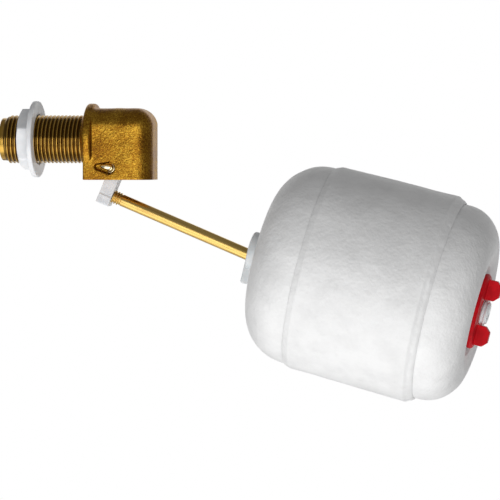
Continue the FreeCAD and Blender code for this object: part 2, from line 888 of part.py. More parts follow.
def float_stem():
    """The through-bolt: a head with one lug, a hub with the rod's slanting socket, and a stud."""
    body = new_body("stem_blank")
    hub_end = near_face + S.stem_hub_length
    stem_end = wing_front + S.stem_stand
    turned(body, "stem", [
        (ZERO, ZERO),
        (stem_end, ZERO),
        (stem_end, S.stem_shaft_radius - S.end_chamfer),
        (stem_end - S.end_chamfer, S.stem_shaft_radius),
        (hub_end, S.stem_shaft_radius),
        (hub_end, stem_hub_radius),
        (near_face, stem_hub_radius),
        (near_face, stem_head_radius),
        (ZERO, stem_head_radius),
    ])
    lug = new_sketch(body, "lug_face", "YZ_Plane", -S.stem_lug_forward)
    half_width = S.stem_lug_width / 2
    outline(lug, [
        (-half_width, -S.stem_lug_reach),
        (half_width, -S.stem_lug_reach),
        (half_width, half_width - stem_head_radius),
        (-half_width, half_width - stem_head_radius),
    ])
    pad(body, "lug", lug, near_face + S.stem_lug_forward)
    half_groove = S.stem_ring_groove_width / 2
    groove_floor = S.core_bore_radius - 2 * S.stem_ring_section - S.fit_gap
    turned(body, "ring_groove", tube(
        S.stem_ring_place - half_groove,
        S.stem_ring_place + half_groove,
        groove_floor,
        core_outer_radius,
    ), "Groove")
    on_float_axis(body)
    socket = cylinder(
        "rod_socket", S.rod_radius + S.fit_gap, S.rod_reach + S.rod_grip + S.side_gap,
        rod_x, ZERO, rod_z, (0, 1, 0), 90 + S.droop,
    )
    made = document.addObject("Part::Cut", "float_stem")
    made.Base = body
    made.Tool = socket
    made.Label = "float_stem"
    return made


def stem_o_ring():
    made = ring("stem_o_ring", S.stem_ring_section, S.core_bore_radius)
    along = S.stem_ring_place
    place(
        made,
        x=float_x + along * cosine(S.float_tilt),
        z=float_z - along * sine(S.float_tilt),
        angle=90 + S.float_tilt,
    )
    return made


def far_washer():
    """The soft washer under the wing nut."""
    body = new_body("far_washer")
    turned(body, "washer", tube(
        dish_floor, wing_back, S.stem_shaft_radius + S.running_gap, far_washer_radius
    ))
    on_float_axis(body)
    return body


def wing_nut():
    """The round nut with two upright wings that holds the float on its stem."""
    body = new_body("wing_nut")
    soft = S.wing_disc_rounding
    bore = S.stem_shaft_radius + S.running_gap
    turned(body, "disc", [
        (wing_back, bore),
        (wing_front, bore),
        (wing_front, S.wing_disc_radius - soft),
        (wing_front - soft, S.wing_disc_radius),
        (wing_back + soft / 2, S.wing_disc_radius),
        (wing_back, S.wing_disc_radius - soft / 2),
    ])
    foot, top = wing_front - soft, wing_front + S.wing_height
    for name, way in (("upper_wing", 1), ("lower_wing", -1)):
        side = new_sketch(body, f"{name}_side")
        inner, outer = way * wing_inner, way * wing_outer
        slant = way * S.wing_corner
        outline(side, [
            (foot, inner),
            (top - S.wing_corner, inner),
            (top, inner + slant),
            (top, outer - slant),
            (top - S.wing_corner, outer),
            (foot, outer),
        ])
        pad(body, name, side, S.wing_thickness, Midplane=True)
    on_float_axis(body)
    return body


SUB_PARTS = (
    valve_body, seat_nozzle, nozzle_o_ring, plunger, plunger_seal, seal_screw, lever, pivot_pin,
    mounting_nut, float_rod, float_near_dome, float_band, float_far_dome, float_core_tube,
    float_stem, stem_o_ring, far_washer, wing_nut,
)


def main():
    """Builds every sub-part, checks the document and writes one STEP file for each."""
    made = [build() for build in SUB_PARTS]
    document.recompute()
    for thing in document.Objects:
        if "Invalid" in thing.State or "Error" in thing.State:
            raise RuntimeError(f"{thing.Label} did not build: {thing.State}")
    os.makedirs(PARTS_FOLDER, exist_ok=True)
    for thing in made:
        shape = thing.Shape
        if shape.isNull() or not shape.isValid():
            raise RuntimeError(f"{thing.Label} has no valid shape")
        if len(shape.Solids) != 1:
            raise RuntimeError(f"{thing.Label} is {len(shape.Solids)} solids")
        shape.exportStep(f"{PARTS_FOLDER}/{thing.Label}.step")
        box = shape.BoundBox
        print(
            f"{thing.Label:16} {shape.Volume:9.1f} mm3   x {box.XMin:7.2f} {box.XMax:7.2f}"
            f"   y {box.YMin:6.2f} {box.YMax:6.2f}   z {box.ZMin:7.2f} {box.ZMax:7.2f}"
        )


main()
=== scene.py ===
"""Looks of a float valve: a cast brass angle valve, its backnut, lever, rod, float and wing nut.

Everything is in the row frame, in metres: the shank's axis is X, Z is up and the origin is on the
collar's sealing face. Sizes in the classes are in millimetres and become metres in make_piece().
"""

import logging
import math
from dataclasses import dataclass, field
from enum import Enum
from typing import Mapping, Optional, Sequence, Union

import bmesh
import bpy
import numpy as np
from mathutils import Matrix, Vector

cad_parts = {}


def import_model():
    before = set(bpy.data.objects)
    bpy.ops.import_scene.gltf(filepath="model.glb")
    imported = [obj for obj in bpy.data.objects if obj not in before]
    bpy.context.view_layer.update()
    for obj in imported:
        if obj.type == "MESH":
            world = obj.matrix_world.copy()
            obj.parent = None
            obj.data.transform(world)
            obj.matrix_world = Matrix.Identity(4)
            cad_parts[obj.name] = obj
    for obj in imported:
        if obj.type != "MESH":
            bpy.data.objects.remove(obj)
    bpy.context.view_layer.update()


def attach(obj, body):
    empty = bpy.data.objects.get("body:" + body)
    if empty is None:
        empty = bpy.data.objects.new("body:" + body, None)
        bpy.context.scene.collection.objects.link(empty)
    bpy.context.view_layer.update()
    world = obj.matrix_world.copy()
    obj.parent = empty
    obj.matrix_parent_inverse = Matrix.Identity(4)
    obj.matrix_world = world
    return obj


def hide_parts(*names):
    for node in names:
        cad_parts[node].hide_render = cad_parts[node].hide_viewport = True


log = logging.getLogger("float_valve")

MM = 0.001
TURN = 2 * math.pi
Array = np.ndarray


# --- arithmetic on arrays ------------------------------------------------------------------------

def smoothstep(low: float, high: float, value: Array) -> Array:
    """0 below low, 1 above high and t * t * (3 - 2 t) between them."""
    t = np.clip((value - low) / (high - low), 0, 1)
    return t * t * (3 - 2 * t)


def soft_min(one: Array, other: Array, width: float) -> Array:
    """The smaller value, with the corner between the two rounded over width."""
    gap = np.clip(0.5 + 0.5 * (other - one) / width, 0, 1)
    return other + (one - other) * gap - width * gap * (1 - gap)


class LatticeNoise:
    """Smooth noise in space: random values on a cubic lattice, eased between its eight corners."""

    SIDE = 32

    def __init__(self, seed: int) -> None:
        """Args:
            seed: the seed of the lattice's random values.
        """
        self.values = np.random.default_rng(seed).uniform(-1, 1, (self.SIDE,) * 3)

    def at(self, points: Array, wavelength: float) -> Array:
        """Noise at points.

        Args:
            points: positions in millimetres, shape (n, 3).
            wavelength: the lattice's spacing in millimetres.

        Returns:
            Values from -1 to 1, shape (n,).
        """
        scaled = points / wavelength
        corner = np.floor(scaled).astype(int)
        part = scaled - corner
        part = part * part * (3 - 2 * part)
        total = np.zeros(len(points))
        for step in range(8):
            offset = np.array([step & 1, step >> 1 & 1, step >> 2 & 1])
            i, j, k = ((corner + offset) % self.SIDE).T
            share = np.where(offset, part, 1 - part).prod(axis=1)
            total += share * self.values[i, j, k]
        return total

    def layered(self, points: Array, wavelength: float, layers: int) -> Array:
        """Noise with layers, each of half the wavelength and half the height of the one before."""
        total = np.zeros(len(points))
        for layer in range(layers):
            shifted = points + 7.3 * wavelength * layer
            total += self.at(shifted, wavelength / 2 ** layer) / 2 ** layer
        return total


@dataclass(frozen=True)
class Station:
    """A sub-part's own frame: X along its axis, turned about Y and moved in the XZ plane."""

    x: float = 0.0
    z: float = 0.0
    tilt: float = 0.0

    def to_row(self, points: Array) -> Array:
        """Local points in the row frame: x' = x cos + z sin, z' = z cos - x sin, then moved."""
        cos, sin = math.cos(math.radians(self.tilt)), math.sin(math.radians(self.tilt))
        x, y, z = points.T
        return np.stack([self.x + x * cos + z * sin, y, self.z + z * cos - x * sin], axis=1)


VALVE = Station()
LEVER = Station(12.05, -13.2, 22.8)
ROD = Station(7.2643, -24.5850, 22.8)
FLOAT = Station(76.07, -51.04, 14.48)


# --- outlines and grids --------------------------------------------------------------------------

Corner = tuple[float, float, float]


def rounded_path(corners: Sequence[Corner], closed: bool = True, steps: int = 5) -> Array:
    """A polyline whose corners are arcs tangent to both of their sides.

    Two neighbouring corners share the side between them in proportion to their radii.

    Args:
        corners: (u, v, radius) of each corner, in order.
        closed: whether the last corner joins the first.
        steps: points on each arc, less one.

    Returns:
        The points, shape (n, 2).
    """
    count = len(corners)
    path = []
    for number, (u, v, radius) in enumerate(corners):
        here = np.array([u, v])
        at_end = not closed and number in (0, count - 1)
        if radius <= 0 or at_end:
            path.append(here)
            continue
        back = np.array(corners[number - 1][:2]) - here
        ahead = np.array(corners[(number + 1) % count][:2]) - here
        long_back, long_ahead = np.linalg.norm(back), np.linalg.norm(ahead)
        share_back = radius / (radius + corners[number - 1][2])
        share_ahead = radius / (radius + corners[(number + 1) % count][2])
        back, ahead = back / long_back, ahead / long_ahead
        half = math.acos(float(np.clip(back @ ahead, -1, 1))) / 2
        if half > math.pi / 2 - 1e-4:
            path.append(here)
            continue
        reach = min(radius / math.tan(half), share_back * long_back, share_ahead * long_ahead)
        size = reach * math.tan(half)
        middle = (back + ahead) / np.linalg.norm(back + ahead)
        centre = here + middle * size / math.sin(half)
        first, last = here + back * reach - centre, here + ahead * reach - centre
        start = math.atan2(first[1], first[0])
        swing = (math.atan2(last[1], last[0]) - start + math.pi) % TURN - math.pi
        angles = start + swing * np.linspace(0, 1, steps + 1)
        path.extend(centre + size * np.stack([np.cos(angles), np.sin(angles)], axis=1))
    return np.array(path)


def divided(path: Array, longest: float, closed: bool = True) -> Array:
    """The same polyline with its long runs cut into equal parts no longer than longest."""
    ends = np.roll(path, -1, axis=0) if closed else path[1:]
    starts = path if closed else path[:-1]
    pieces = []
    for start, end in zip(starts, ends):
        parts = max(1, math.ceil(float(np.linalg.norm(end - start)) / longest))
        pieces.append(start + (end - start) * np.arange(parts)[:, None] / parts)
    if not closed:
        pieces.append(path[-1:])
    return np.concatenate(pieces)


def grid_faces(rows: int, columns: int, wrap_rows: bool, wrap_columns: bool) -> Array:
    """The quads of a grid of points stored row by row, shape (n, 4)."""
    down = np.arange(rows if wrap_rows else rows - 1)[:, None]
    along = np.arange(columns if wrap_columns else columns - 1)[None, :]
    below, beside = (down + 1) % rows, (along + 1) % columns
    corners = [down * columns + along, down * columns + beside,
               below * columns + beside, below * columns + along]
    return np.stack([np.broadcast_to(c, (down.size, along.size)) for c in corners], -1).reshape(-1, 4)


@dataclass
class Shell:
    """A mesh on its way into Blender: points in millimetres and quads."""

    points: Array
    faces: Array

    def joined(self, other: "Shell") -> "Shell":
        """This shell and another as one."""
        faces = np.concatenate([self.faces, other.faces + len(self.points)])
        return Shell(np.concatenate([self.points, other.points]), faces)


def revolved(path: Array, columns: int, closed: bool = True) -> Shell:
    """A path of (x, radius) carried round the X axis: (x, radius cos a, radius sin a)."""
    angles = np.arange(columns) * TURN / columns
    x = np.broadcast_to(path[:, :1], (len(path), columns))
    y, z = path[:, 1:] * np.cos(angles), path[:, 1:] * np.sin(angles)
    points = np.stack([x, y, z], axis=-1).reshape(-1, 3)
    return Shell(points, grid_faces(len(path), columns, closed, True))


def slab(outline: Array, low: float, high: float, rounding: float, steps: int = 4) -> Shell:
    """A plate between two heights along Y, with its edges rounded and its faces closed.

    The outline is scaled about its centre as each edge turns over: at an angle a from the side, it
    draws in by rounding * (1 - cos a) while the height moves by rounding * sin a.

    Args:
        outline: the plate's closed outline in (x, z), shape (n, 2).
        low: the lower height.
        high: the upper height.
        rounding: the radius of its edges.
        steps: rows on each edge.

    Returns:
        The closed shell.
    """
    centre = outline.mean(axis=0)
    reach = np.linalg.norm(outline - centre, axis=1, keepdims=True)
    turns = np.linspace(0, math.pi / 2, steps + 1)
    rows = [(rounding * (1 - math.cos(a)), low + rounding * (1 - math.sin(a))) for a in turns[::-1]]
    rows += [(rounding * (1 - math.cos(a)), high - rounding * (1 - math.sin(a))) for a in turns]
    rings = []
    for inset, height in [(None, low), *rows, (None, high)]:
        share = np.zeros_like(reach) if inset is None else 1 - inset / reach
        flat = centre + (outline - centre) * share
        rings.append(np.column_stack([flat[:, 0], np.full(len(flat), height), flat[:, 1]]))
    return Shell(np.concatenate(rings), grid_faces(len(rings), len(outline), False, True))


def swept(path: Array, radius: Array, columns: int, flatten: float = 1.0) -> Shell:
    """A tube along a path that lies flat in XZ, closed to a point at both ends.

    Each ring is the path's point plus radius * (cos a * sideways + flatten * sin a * Y), where
    sideways is square to the path in XZ.

    Args:
        path: the points in (x, y, z), shape (n, 3).
        radius: the tube's radius at each point.
        columns: points round the tube.
        flatten: the tube's thickness along Y over its width.

    Returns:
        The closed shell.
    """
    ahead = np.gradient(path, axis=0)
    ahead /= np.linalg.norm(ahead, axis=1, keepdims=True)
    lift = np.array([0.0, 1.0, 0.0])
    sideways = np.cross(ahead, lift)
    sideways /= np.maximum(np.linalg.norm(sideways, axis=1, keepdims=True), 1e-9)
    upward = np.cross(sideways, ahead)
    angles = np.arange(columns) * TURN / columns
    ring = (np.cos(angles)[None, :, None] * sideways[:, None, :]
            + flatten * np.sin(angles)[None, :, None] * upward[:, None, :])
    points = path[:, None, :] + radius[:, None, None] * ring
    ends = [np.repeat(path[i][None, None, :], columns, axis=1) for i in (0, -1)]
    points = np.concatenate([ends[0], points, ends[1]]).reshape(-1, 3)
    return Shell(points, grid_faces(len(path) + 2, columns, False, True))


@dataclass(frozen=True)
class Thread:
    """A right-hand screw thread about the X axis."""

    start: float
    end: float
    crest: float
    root: float
    pitch: float
    fade: float = 1.2
    phase: float = 0.0

    def shell(self, columns: int, per_turn: int, head: Array, tail: Array) -> Shell:
        """The threaded length with a plain path before and after it, closed round.

        Rows follow the helix, at x = pitch * (row / per_turn + angle / turn), held between the two
        ends. The radius goes from root to crest as a rounded V of the row's own place in the pitch,
        and sinks to the root over fade at each end.

        Args:
            columns: points round the axis.
            per_turn: rows in one pitch.
            head: (x, radius) points that lead from the bore's end to the thread's start.
            tail: (x, radius) points that lead from the thread's end back to the head's first point.

        Returns:
            The closed shell.
        """
        angles = np.arange(columns + 1) * TURN / columns
        rows = math.ceil((self.end - self.start) / self.pitch * per_turn) + per_turn
        row = np.arange(-per_turn, rows + 1)[:, None]
        x = self.start + self.pitch * (row / per_turn + angles[None, :] / TURN)
        x = np.clip(x, self.start, self.end)
        place = np.mod(row / per_turn + self.phase, 1.0)
        wave = 1 - np.abs(2 * place - 1)
        height = smoothstep(0.12, 0.86, wave)
        run = smoothstep(0, self.fade, x - self.start) * smoothstep(0, self.fade, self.end - x)
        radius = self.root + (self.crest - self.root) * height * run
        points = np.stack([x, radius * np.cos(angles), -radius * np.sin(angles)], axis=-1)
        before, after = (
            np.stack([np.broadcast_to(p[:, :1], (len(p), columns + 1)),
                      p[:, 1:] * np.cos(angles), -p[:, 1:] * np.sin(angles)], axis=-1)
            for p in (head, tail)
        )
        points = np.concatenate([before, points, after])
        faces = grid_faces(len(points), columns + 1, True, False)
        return Shell(points.reshape(-1, 3), faces)


# --- meshes in Blender ---------------------------------------------------------------------------

SHARP = 38.0


def tidy_mesh(mesh: bpy.types.Mesh, merge: float, sharp: float) -> None:
    """Merges doubles, drops flat faces, points faces outwards and shades smooth below an angle."""
    work = bmesh.new()
    work.from_mesh(mesh)
    bmesh.ops.remove_doubles(work, verts=work.verts[:], dist=merge)
    bmesh.ops.dissolve_degenerate(work, edges=work.edges[:], dist=merge / 4)
    bmesh.ops.recalc_face_normals(work, faces=work.faces[:])
    limit = math.radians(sharp)
    for face in work.faces:
        face.smooth = True
    for edge in work.edges:
        edge.smooth = not (edge.is_manifold and edge.calc_face_angle(0.0) > limit)
    work.to_mesh(mesh)
    work.free()
    mesh.update()


def make_piece(
    name: str, shell: Shell, station: Station = VALVE, merge: float = 2e-6, sharp: float = SHARP
) -> bpy.types.Object:
    """Puts a shell into a new object at the origin.

    Args:
        name: the piece's name.
        shell: its points in its own frame, in millimetres, and its quads.
        station: the frame that the points are in.
        merge: points nearer than this, in metres, become one.
        sharp: edges that turn more than this many degrees stay sharp.

    Returns:
        The new object.
    """
    mesh = bpy.data.meshes.new(name)
    points = (station.to_row(shell.points) * MM).astype(np.float32)
    faces = shell.faces.astype(np.int32)
    mesh.vertices.add(len(points))
    mesh.vertices.foreach_set("co", points.ravel())
    mesh.loops.add(faces.size)
    mesh.loops.foreach_set("vertex_index", faces.ravel())
    mesh.polygons.add(len(faces))
    mesh.polygons.foreach_set("loop_start", np.arange(len(faces), dtype=np.int32) * 4)
    mesh.update(calc_edges=True)
    tidy_mesh(mesh, merge, sharp)
    piece = bpy.data.objects.new(name, mesh)
    bpy.context.scene.collection.objects.link(piece)
    return piece


def mesh_points(mesh: bpy.types.Mesh) -> Array:
    """A mesh's vertices in millimetres, shape (n, 3)."""
    flat = np.empty(len(mesh.vertices) * 3, np.float32)
    mesh.vertices.foreach_get("co", flat)
    return flat.reshape(-1, 3).astype(float) / MM


def set_mesh_points(mesh: bpy.types.Mesh, points: Array) -> None:
    """Puts vertices given in millimetres back into a mesh."""
    mesh.vertices.foreach_set("co", (points * MM).astype(np.float32).ravel())
    mesh.update()


def mesh_normals(mesh: bpy.types.Mesh) -> Array:
    """A mesh's vertex normals, shape (n, 3)."""
    flat = np.empty(len(mesh.vertices) * 3, np.float32)
    mesh.vertex_normals.foreach_get("vector", flat)
    return flat.reshape(-1, 3).astype(float)


def relaxed(points: Array, edges: Array, rounds: int, share: Union[float, Array] = 1.0) -> Array:
    """Points eased towards the mean of their neighbours, then back a little, so that edges round
    over without the whole shape shrinking.

    Args:
        points: positions, shape (n, 3).
        edges: pairs of point numbers, shape (m, 2).
        rounds: how often both moves are made.
        share: how much of each move a point takes, as one number or one for each point.

    Returns:
        The moved points.
    """
    count = np.maximum(np.bincount(edges.ravel(), minlength=len(points)), 1)[:, None]
    share = np.broadcast_to(np.asarray(share, float).reshape(-1, 1), (len(points), 1))
    for _ in range(rounds):
        for move in (0.5, -0.52):
            total = np.stack([
                np.bincount(edges[:, 0], points[edges[:, 1], axis], len(points))
                + np.bincount(edges[:, 1], points[edges[:, 0], axis], len(points))
                for axis in range(3)
            ], axis=1)
            points = points + share * move * (total / count - points)
    return points


def recast(
    name: str, node: str, voxel: float, cut_x: Optional[float] = None
) -> bpy.types.Object:
    """A copy of a CAD node as one even skin of small quads.

    The copy's loose triangles are merged. Where cut_x is given, what lies left of that plane is cut
    off and the cut closed.

    Args:
        name: the new piece's name.
        node: the CAD node to copy.
        voxel: the size of the quads, in millimetres.
        cut_x: the plane of the cut, in millimetres.

    Returns:
        The new object.
    """
    mesh = bpy.data.objects[node].data.copy()
    work = bmesh.new()
    work.from_mesh(mesh)
    bmesh.ops.remove_doubles(work, verts=work.verts[:], dist=1e-6)
    if cut_x is not None:
        cut = bmesh.ops.bisect_plane(
            work, geom=work.verts[:] + work.edges[:] + work.faces[:], dist=1e-7,
            plane_co=(cut_x * MM, 0, 0), plane_no=(1, 0, 0), clear_inner=True,
        )
        rim = [e for e in cut["geom_cut"] if isinstance(e, bmesh.types.BMEdge)]
        bmesh.ops.triangle_fill(work, edges=rim, use_beauty=True)
    bmesh.ops.recalc_face_normals(work, faces=work.faces[:])
    work.to_mesh(mesh)
    work.free()
    rough = bpy.data.objects.new(f"{name}_rough", mesh)
    bpy.context.scene.collection.objects.link(rough)
    skin = rough.modifiers.new("skin", "REMESH")
    skin.mode = "VOXEL"
    skin.voxel_size = voxel * MM
    skin.use_smooth_shade = True
    ready = rough.evaluated_get(bpy.context.evaluated_depsgraph_get())
    made = bpy.data.meshes.new_from_object(ready)
    made.name = name
    made.materials.clear()
    bpy.data.objects.remove(rough)
    piece = bpy.data.objects.new(name, made)
    bpy.context.scene.collection.objects.link(piece)
    return piece


def mesh_edges(mesh: bpy.types.Mesh) -> Array:
    """A mesh's edges as pairs of vertex numbers."""
    flat = np.empty(len(mesh.edges) * 2, np.int32)
    mesh.edges.foreach_get("vertices", flat)
    return flat.reshape(-1, 2)


# --- shader expressions --------------------------------------------------------------------------

Value = Union["Wire", float, Sequence[float]]


class Wire:
    """A shader socket that takes part in arithmetic, each operation adding its Math node."""

    def __init__(self, recipe: "Recipe", socket: bpy.types.NodeSocket) -> None:
        """Args:
            recipe: the material that the socket is in.
            socket: the output socket.
        """
        self.recipe = recipe
        self.socket = socket

    def maths(self, operation: str, *others: Value) -> "Wire":
        """One Math node on this value and others."""
        return self.recipe.node("ShaderNodeMath", {"operation": operation}, (self, *others))

    def __add__(self, other: Value) -> "Wire":
        """self + other"""
        return self.maths("ADD", other)

    def __sub__(self, other: Value) -> "Wire":
        """self - other"""
        return self.maths("SUBTRACT", other)

    def __mul__(self, other: Value) -> "Wire":
        """self * other"""
        return self.maths("MULTIPLY", other)

    def __truediv__(self, other: Value) -> "Wire":
        """self / other"""
        return self.maths("DIVIDE", other)

    __radd__ = __add__
    __rmul__ = __mul__

    def __rsub__(self, other: Value) -> "Wire":
        """other - self"""
        return self.recipe.node("ShaderNodeMath", {"operation": "SUBTRACT"}, (other, self))

    def between(self, low: float, high: float) -> "Wire":
        """0 at low, 1 at high, eased and held outside them."""
        return self.recipe.node(
            "ShaderNodeMapRange", {"interpolation_type": "SMOOTHSTEP"},
            {"Value": self, "From Min": low, "From Max": high},
        )


class Recipe:
    """One material's nodes."""

    def __init__(self, name: str) -> None:
        """Args:
            name: the material's name.
        """
        self.material = bpy.data.materials.new(name)
        self.material.use_nodes = True
        self.tree = self.material.node_tree
        self.tree.nodes.clear()
        self.output = self.tree.nodes.new("ShaderNodeOutputMaterial")

    def node(
        self,
        kind: str,
        settings: Optional[Mapping[str, object]] = None,
        inputs: Union[Mapping[Union[str, int], Value], Sequence[Value], None] = None,
        output: Union[int, str] = 0,
    ) -> Wire:
        """Adds a node.

        Args:
            kind: the node's type.
            settings: its properties, set before its sockets. "stops" are a colour ramp's.
            inputs: values or wires for its input sockets, by name or number, or in order.
            output: the output socket to hand back.

        Returns:
            The output socket as a Wire.
        """
        made = self.tree.nodes.new(kind)
        for key, setting in (settings or {}).items():
            if key == "stops":
                ramp = made.color_ramp
                while len(ramp.elements) > 1:
                    ramp.elements.remove(ramp.elements[-1])
                for number, (place, colour) in enumerate(setting):
                    stop = ramp.elements[0] if number == 0 else ramp.elements.new(place)
                    stop.position = place
                    stop.color = (*colour, 1.0)
            else:
                setattr(made, key, setting)
        pairs = inputs.items() if isinstance(inputs, Mapping) else enumerate(inputs or ())
        for key, value in pairs:
            self.feed(made.inputs[key], value)
        return Wire(self, made.outputs[output])

    def feed(self, socket: bpy.types.NodeSocket, value: Value) -> None:
        """Links a wire to a socket, or sets the socket to a constant."""
        if isinstance(value, Wire):
            self.tree.links.new(value.socket, socket)
        elif isinstance(value, (int, float)) or len(value) == len(socket.default_value):
            socket.default_value = value
        else:
            socket.default_value = (*value, 1.0)

    def place(self, scale: Sequence[float] = (1, 1, 1), tilt: float = 0.0) -> Wire:
        """Object coordinates, turned back by tilt degrees about Y and scaled."""
        spot = self.node("ShaderNodeTexCoord", output="Object")
        turned = self.node(
            "ShaderNodeMapping", {"vector_type": "POINT"},
            {"Vector": spot, "Rotation": (0.0, -math.radians(tilt), 0.0)},
        )
        return self.node("ShaderNodeVectorMath", {"operation": "MULTIPLY"}, (turned, tuple(scale)))

    def noise(
        self, size: float, detail: float = 3.0, rough: float = 0.5, where: Optional[Wire] = None
    ) -> Wire:
        """Cloudy noise whose features are about size millimetres across, around 0.5."""
        return self.node("ShaderNodeTexNoise", None, {
            "Vector": where or self.place(), "Scale": 1 / (size * MM),
            "Detail": detail, "Roughness": rough,
        })

    def cells(self, size: float, feature: str = "F1", where: Optional[Wire] = None) -> Wire:
        """The distance to the nearest of scattered points, size millimetres apart."""
        return self.node(
            "ShaderNodeTexVoronoi", {"feature": feature},
            {"Vector": where or self.place(), "Scale": 1 / (size * MM)},
            "Distance",
        )

    def ramp(self, factor: Wire, *stops: tuple[float, Sequence[float]]) -> Wire:
        """A colour picked along stops."""
        return self.node("ShaderNodeValToRGB", {"stops": stops}, {"Fac": factor})

    def mix(self, factor: Value, one: Value, other: Value, blend: str = "MIX") -> Wire:
        """Two colours mixed."""
        return self.node(
            "ShaderNodeMix", {"data_type": "RGBA", "blend_type": blend},
            {0: factor, 6: one, 7: other}, 2,
        )

    def bump(self, height: Wire, depth: float, strength: float = 1.0) -> Wire:
        """A normal that leans as if the surface rose by depth millimetres where height is 1."""
        return self.node("ShaderNodeBump", None, {
            "Height": height, "Distance": depth * MM, "Strength": strength,
        }, "Normal")

    def surface(self, **sockets: Value) -> bpy.types.Material:
        """Closes the material with one Principled shader.

        Args:
            **sockets: its inputs, named in lower case with underscores.

        Returns:
            The material.
        """
        made = self.tree.nodes.new("ShaderNodeBsdfPrincipled")
        names = {name.lower().replace(" ", "_"): name for name in made.inputs.keys()}
        for key, value in sockets.items():
            self.feed(made.inputs[names[key]], value)
        self.tree.links.new(made.outputs[0], self.output.inputs["Surface"])
        return self.material


# --- finishes ------------------------------------------------------------------------------------

Colour = tuple[float, float, float]


class Slot(Enum):
    """The record's material slots."""

    CAST_BRASS = "cast_brass"
    TURNED_BRASS = "turned_brass"
    PIN_BRASS = "pin_brass"
    ROD_BRASS = "rod_brass"
    WHITE_NYLON = "white_nylon"
    WHITE_ACETAL = "white_acetal"
    WHITE_FLOAT = "white_float"
    STEM_PLASTIC = "stem_plastic"
    RED_PLASTIC = "red_plastic"
    BLACK_RUBBER = "black_rubber"


@dataclass(frozen=True)
class SandCast:
    """Brass as it comes from a sand mould: granular, mottled, browner in its hollows."""

    slot: Slot = Slot.CAST_BRASS
    deep: Colour = (0.17, 0.062, 0.009)
    middle: Colour = (0.34, 0.158, 0.014)
    bright: Colour = (0.64, 0.38, 0.045)
    grain: float = 0.60

    def material(self) -> bpy.types.Material:
        """The finished material."""
        recipe = Recipe(self.slot.value)
        sand = recipe.noise(self.grain, 4.0, 0.6)
        pits = recipe.cells(self.grain * 1.3)
        patches = recipe.noise(9.0, 3.0, 0.5)
        height = sand * 0.7 + pits * 0.45
        tone = sand * 0.65 + patches * 0.35
        colour = recipe.ramp(tone, (0.36, self.deep), (0.50, self.middle), (0.64, self.bright))
        rough = 0.24 + 0.14 * patches + 0.10 * sand
        return recipe.surface(
            base_color=colour, metallic=1.0, roughness=rough,
            normal=recipe.bump(height, 0.13, 0.95),
        )


@dataclass(frozen=True)
class Turned:
    """Brass cut on a lathe about an axis: bright, with fine rings and darker stain in patches.

    Where it is threaded, shade is painted into the grooves as a dark colour, from the root's radius
    up to the crest's.
    """

    slot: Slot
    base: Colour
    stain: Colour
    tilt: float = 0.0
    ring: float = 0.12
    rough: float = 0.2
    root: float = 0.0
    crest: float = 0.0
    # painted shade: the near-black colour laid into the thread's grooves
    painted_groove_shade: Colour = (0.030, 0.012, 0.004)

    def grooves(self, recipe: Recipe) -> Wire:
        """The mask of the painted groove shade: 1 at the thread's root, falling to 0 at its crest and
        on anything inside the root.
        """
        radial = recipe.node(
            "ShaderNodeVectorMath", {"operation": "LENGTH"}, (recipe.place((0, 1, 1)),), "Value"
        )
        below = 1 - radial.between(self.root * MM, self.crest * MM)
        return below * radial.between((self.root - 0.10) * MM, (self.root - 0.02) * MM)

    def material(self) -> bpy.types.Material:
        """The finished material."""
        recipe = Recipe(self.slot.value)
        along = recipe.place((1.0, 0.06, 0.06), self.tilt)
        rings = recipe.noise(self.ring, 2.0, 0.6, along)
        patches = recipe.noise(4.0, 4.0, 0.6)
        stain = patches.between(0.52, 0.75)
        colour = recipe.mix(stain * 0.6, self.base, self.stain)
        if self.crest:
            # painted shade: the thread's grooves darkened towards their root
            colour = recipe.mix(self.grooves(recipe) * 0.75, colour, self.painted_groove_shade)
        return recipe.surface(
            base_color=colour, metallic=1.0, roughness=self.rough + 0.12 * rings + 0.14 * stain,
            normal=recipe.bump(rings, 0.012, 0.6),
        )


@dataclass(frozen=True)
class Drawn:
    """Brass drawn through a die: bright, with long fine streaks along its axis."""

    slot: Slot
    base: Colour
    streak: Colour
    tilt: float

    def material(self) -> bpy.types.Material:
        """The finished material."""
        recipe = Recipe(self.slot.value)
        along = recipe.place((0.03, 1.0, 1.0), self.tilt)
        lines = recipe.noise(0.35, 3.0, 0.6, along)
        specks = recipe.noise(1.6, 4.0, 0.7)
        worn = lines.between(0.45, 0.7)
        colour = recipe.mix(worn * 0.5 + 0.2 * specks, self.base, self.streak)
        return recipe.surface(
            base_color=colour, metallic=1.0, roughness=0.18 + 0.14 * lines + 0.08 * specks,
            normal=recipe.bump(lines, 0.012, 0.5),
        )


@dataclass(frozen=True)
class Moulded:
    """A moulded plastic: faint mottling, a waxy gloss and light passing a little way in."""

    slot: Slot
    base: Colour
    shade: Colour
    rough: float = 0.34
    mottle: float = 2.5
    peel: float = 0.03
    depth: float = 0.0
    glow: Colour = (1.0, 0.9, 0.85)
    shine: float = 0.5

    def material(self) -> bpy.types.Material:
        """The finished material."""
        recipe = Recipe(self.slot.value)
        cloud = recipe.noise(self.mottle * 2.5, 4.0, 0.55)
        skin = recipe.noise(self.mottle * 0.45, 3.0, 0.5)
        fine = recipe.noise(0.22, 2.0, 0.5)
        scuffs = recipe.noise(1.1, 5.0, 0.7).between(0.56, 0.72)
        colour = recipe.mix(cloud.between(0.35, 0.68), self.base, self.shade)
        return recipe.surface(
            base_color=colour,
            roughness=self.rough + 0.10 * cloud + 0.08 * scuffs,
            normal=recipe.bump(skin * 0.8 + fine * 0.2 + scuffs * 0.12, self.peel, 0.8),
            subsurface_weight=0.35 if self.depth else 0.0,
            subsurface_radius=self.glow, subsurface_scale=max(self.depth, 0.1) * MM,
            specular_ior_level=self.shine,
        )


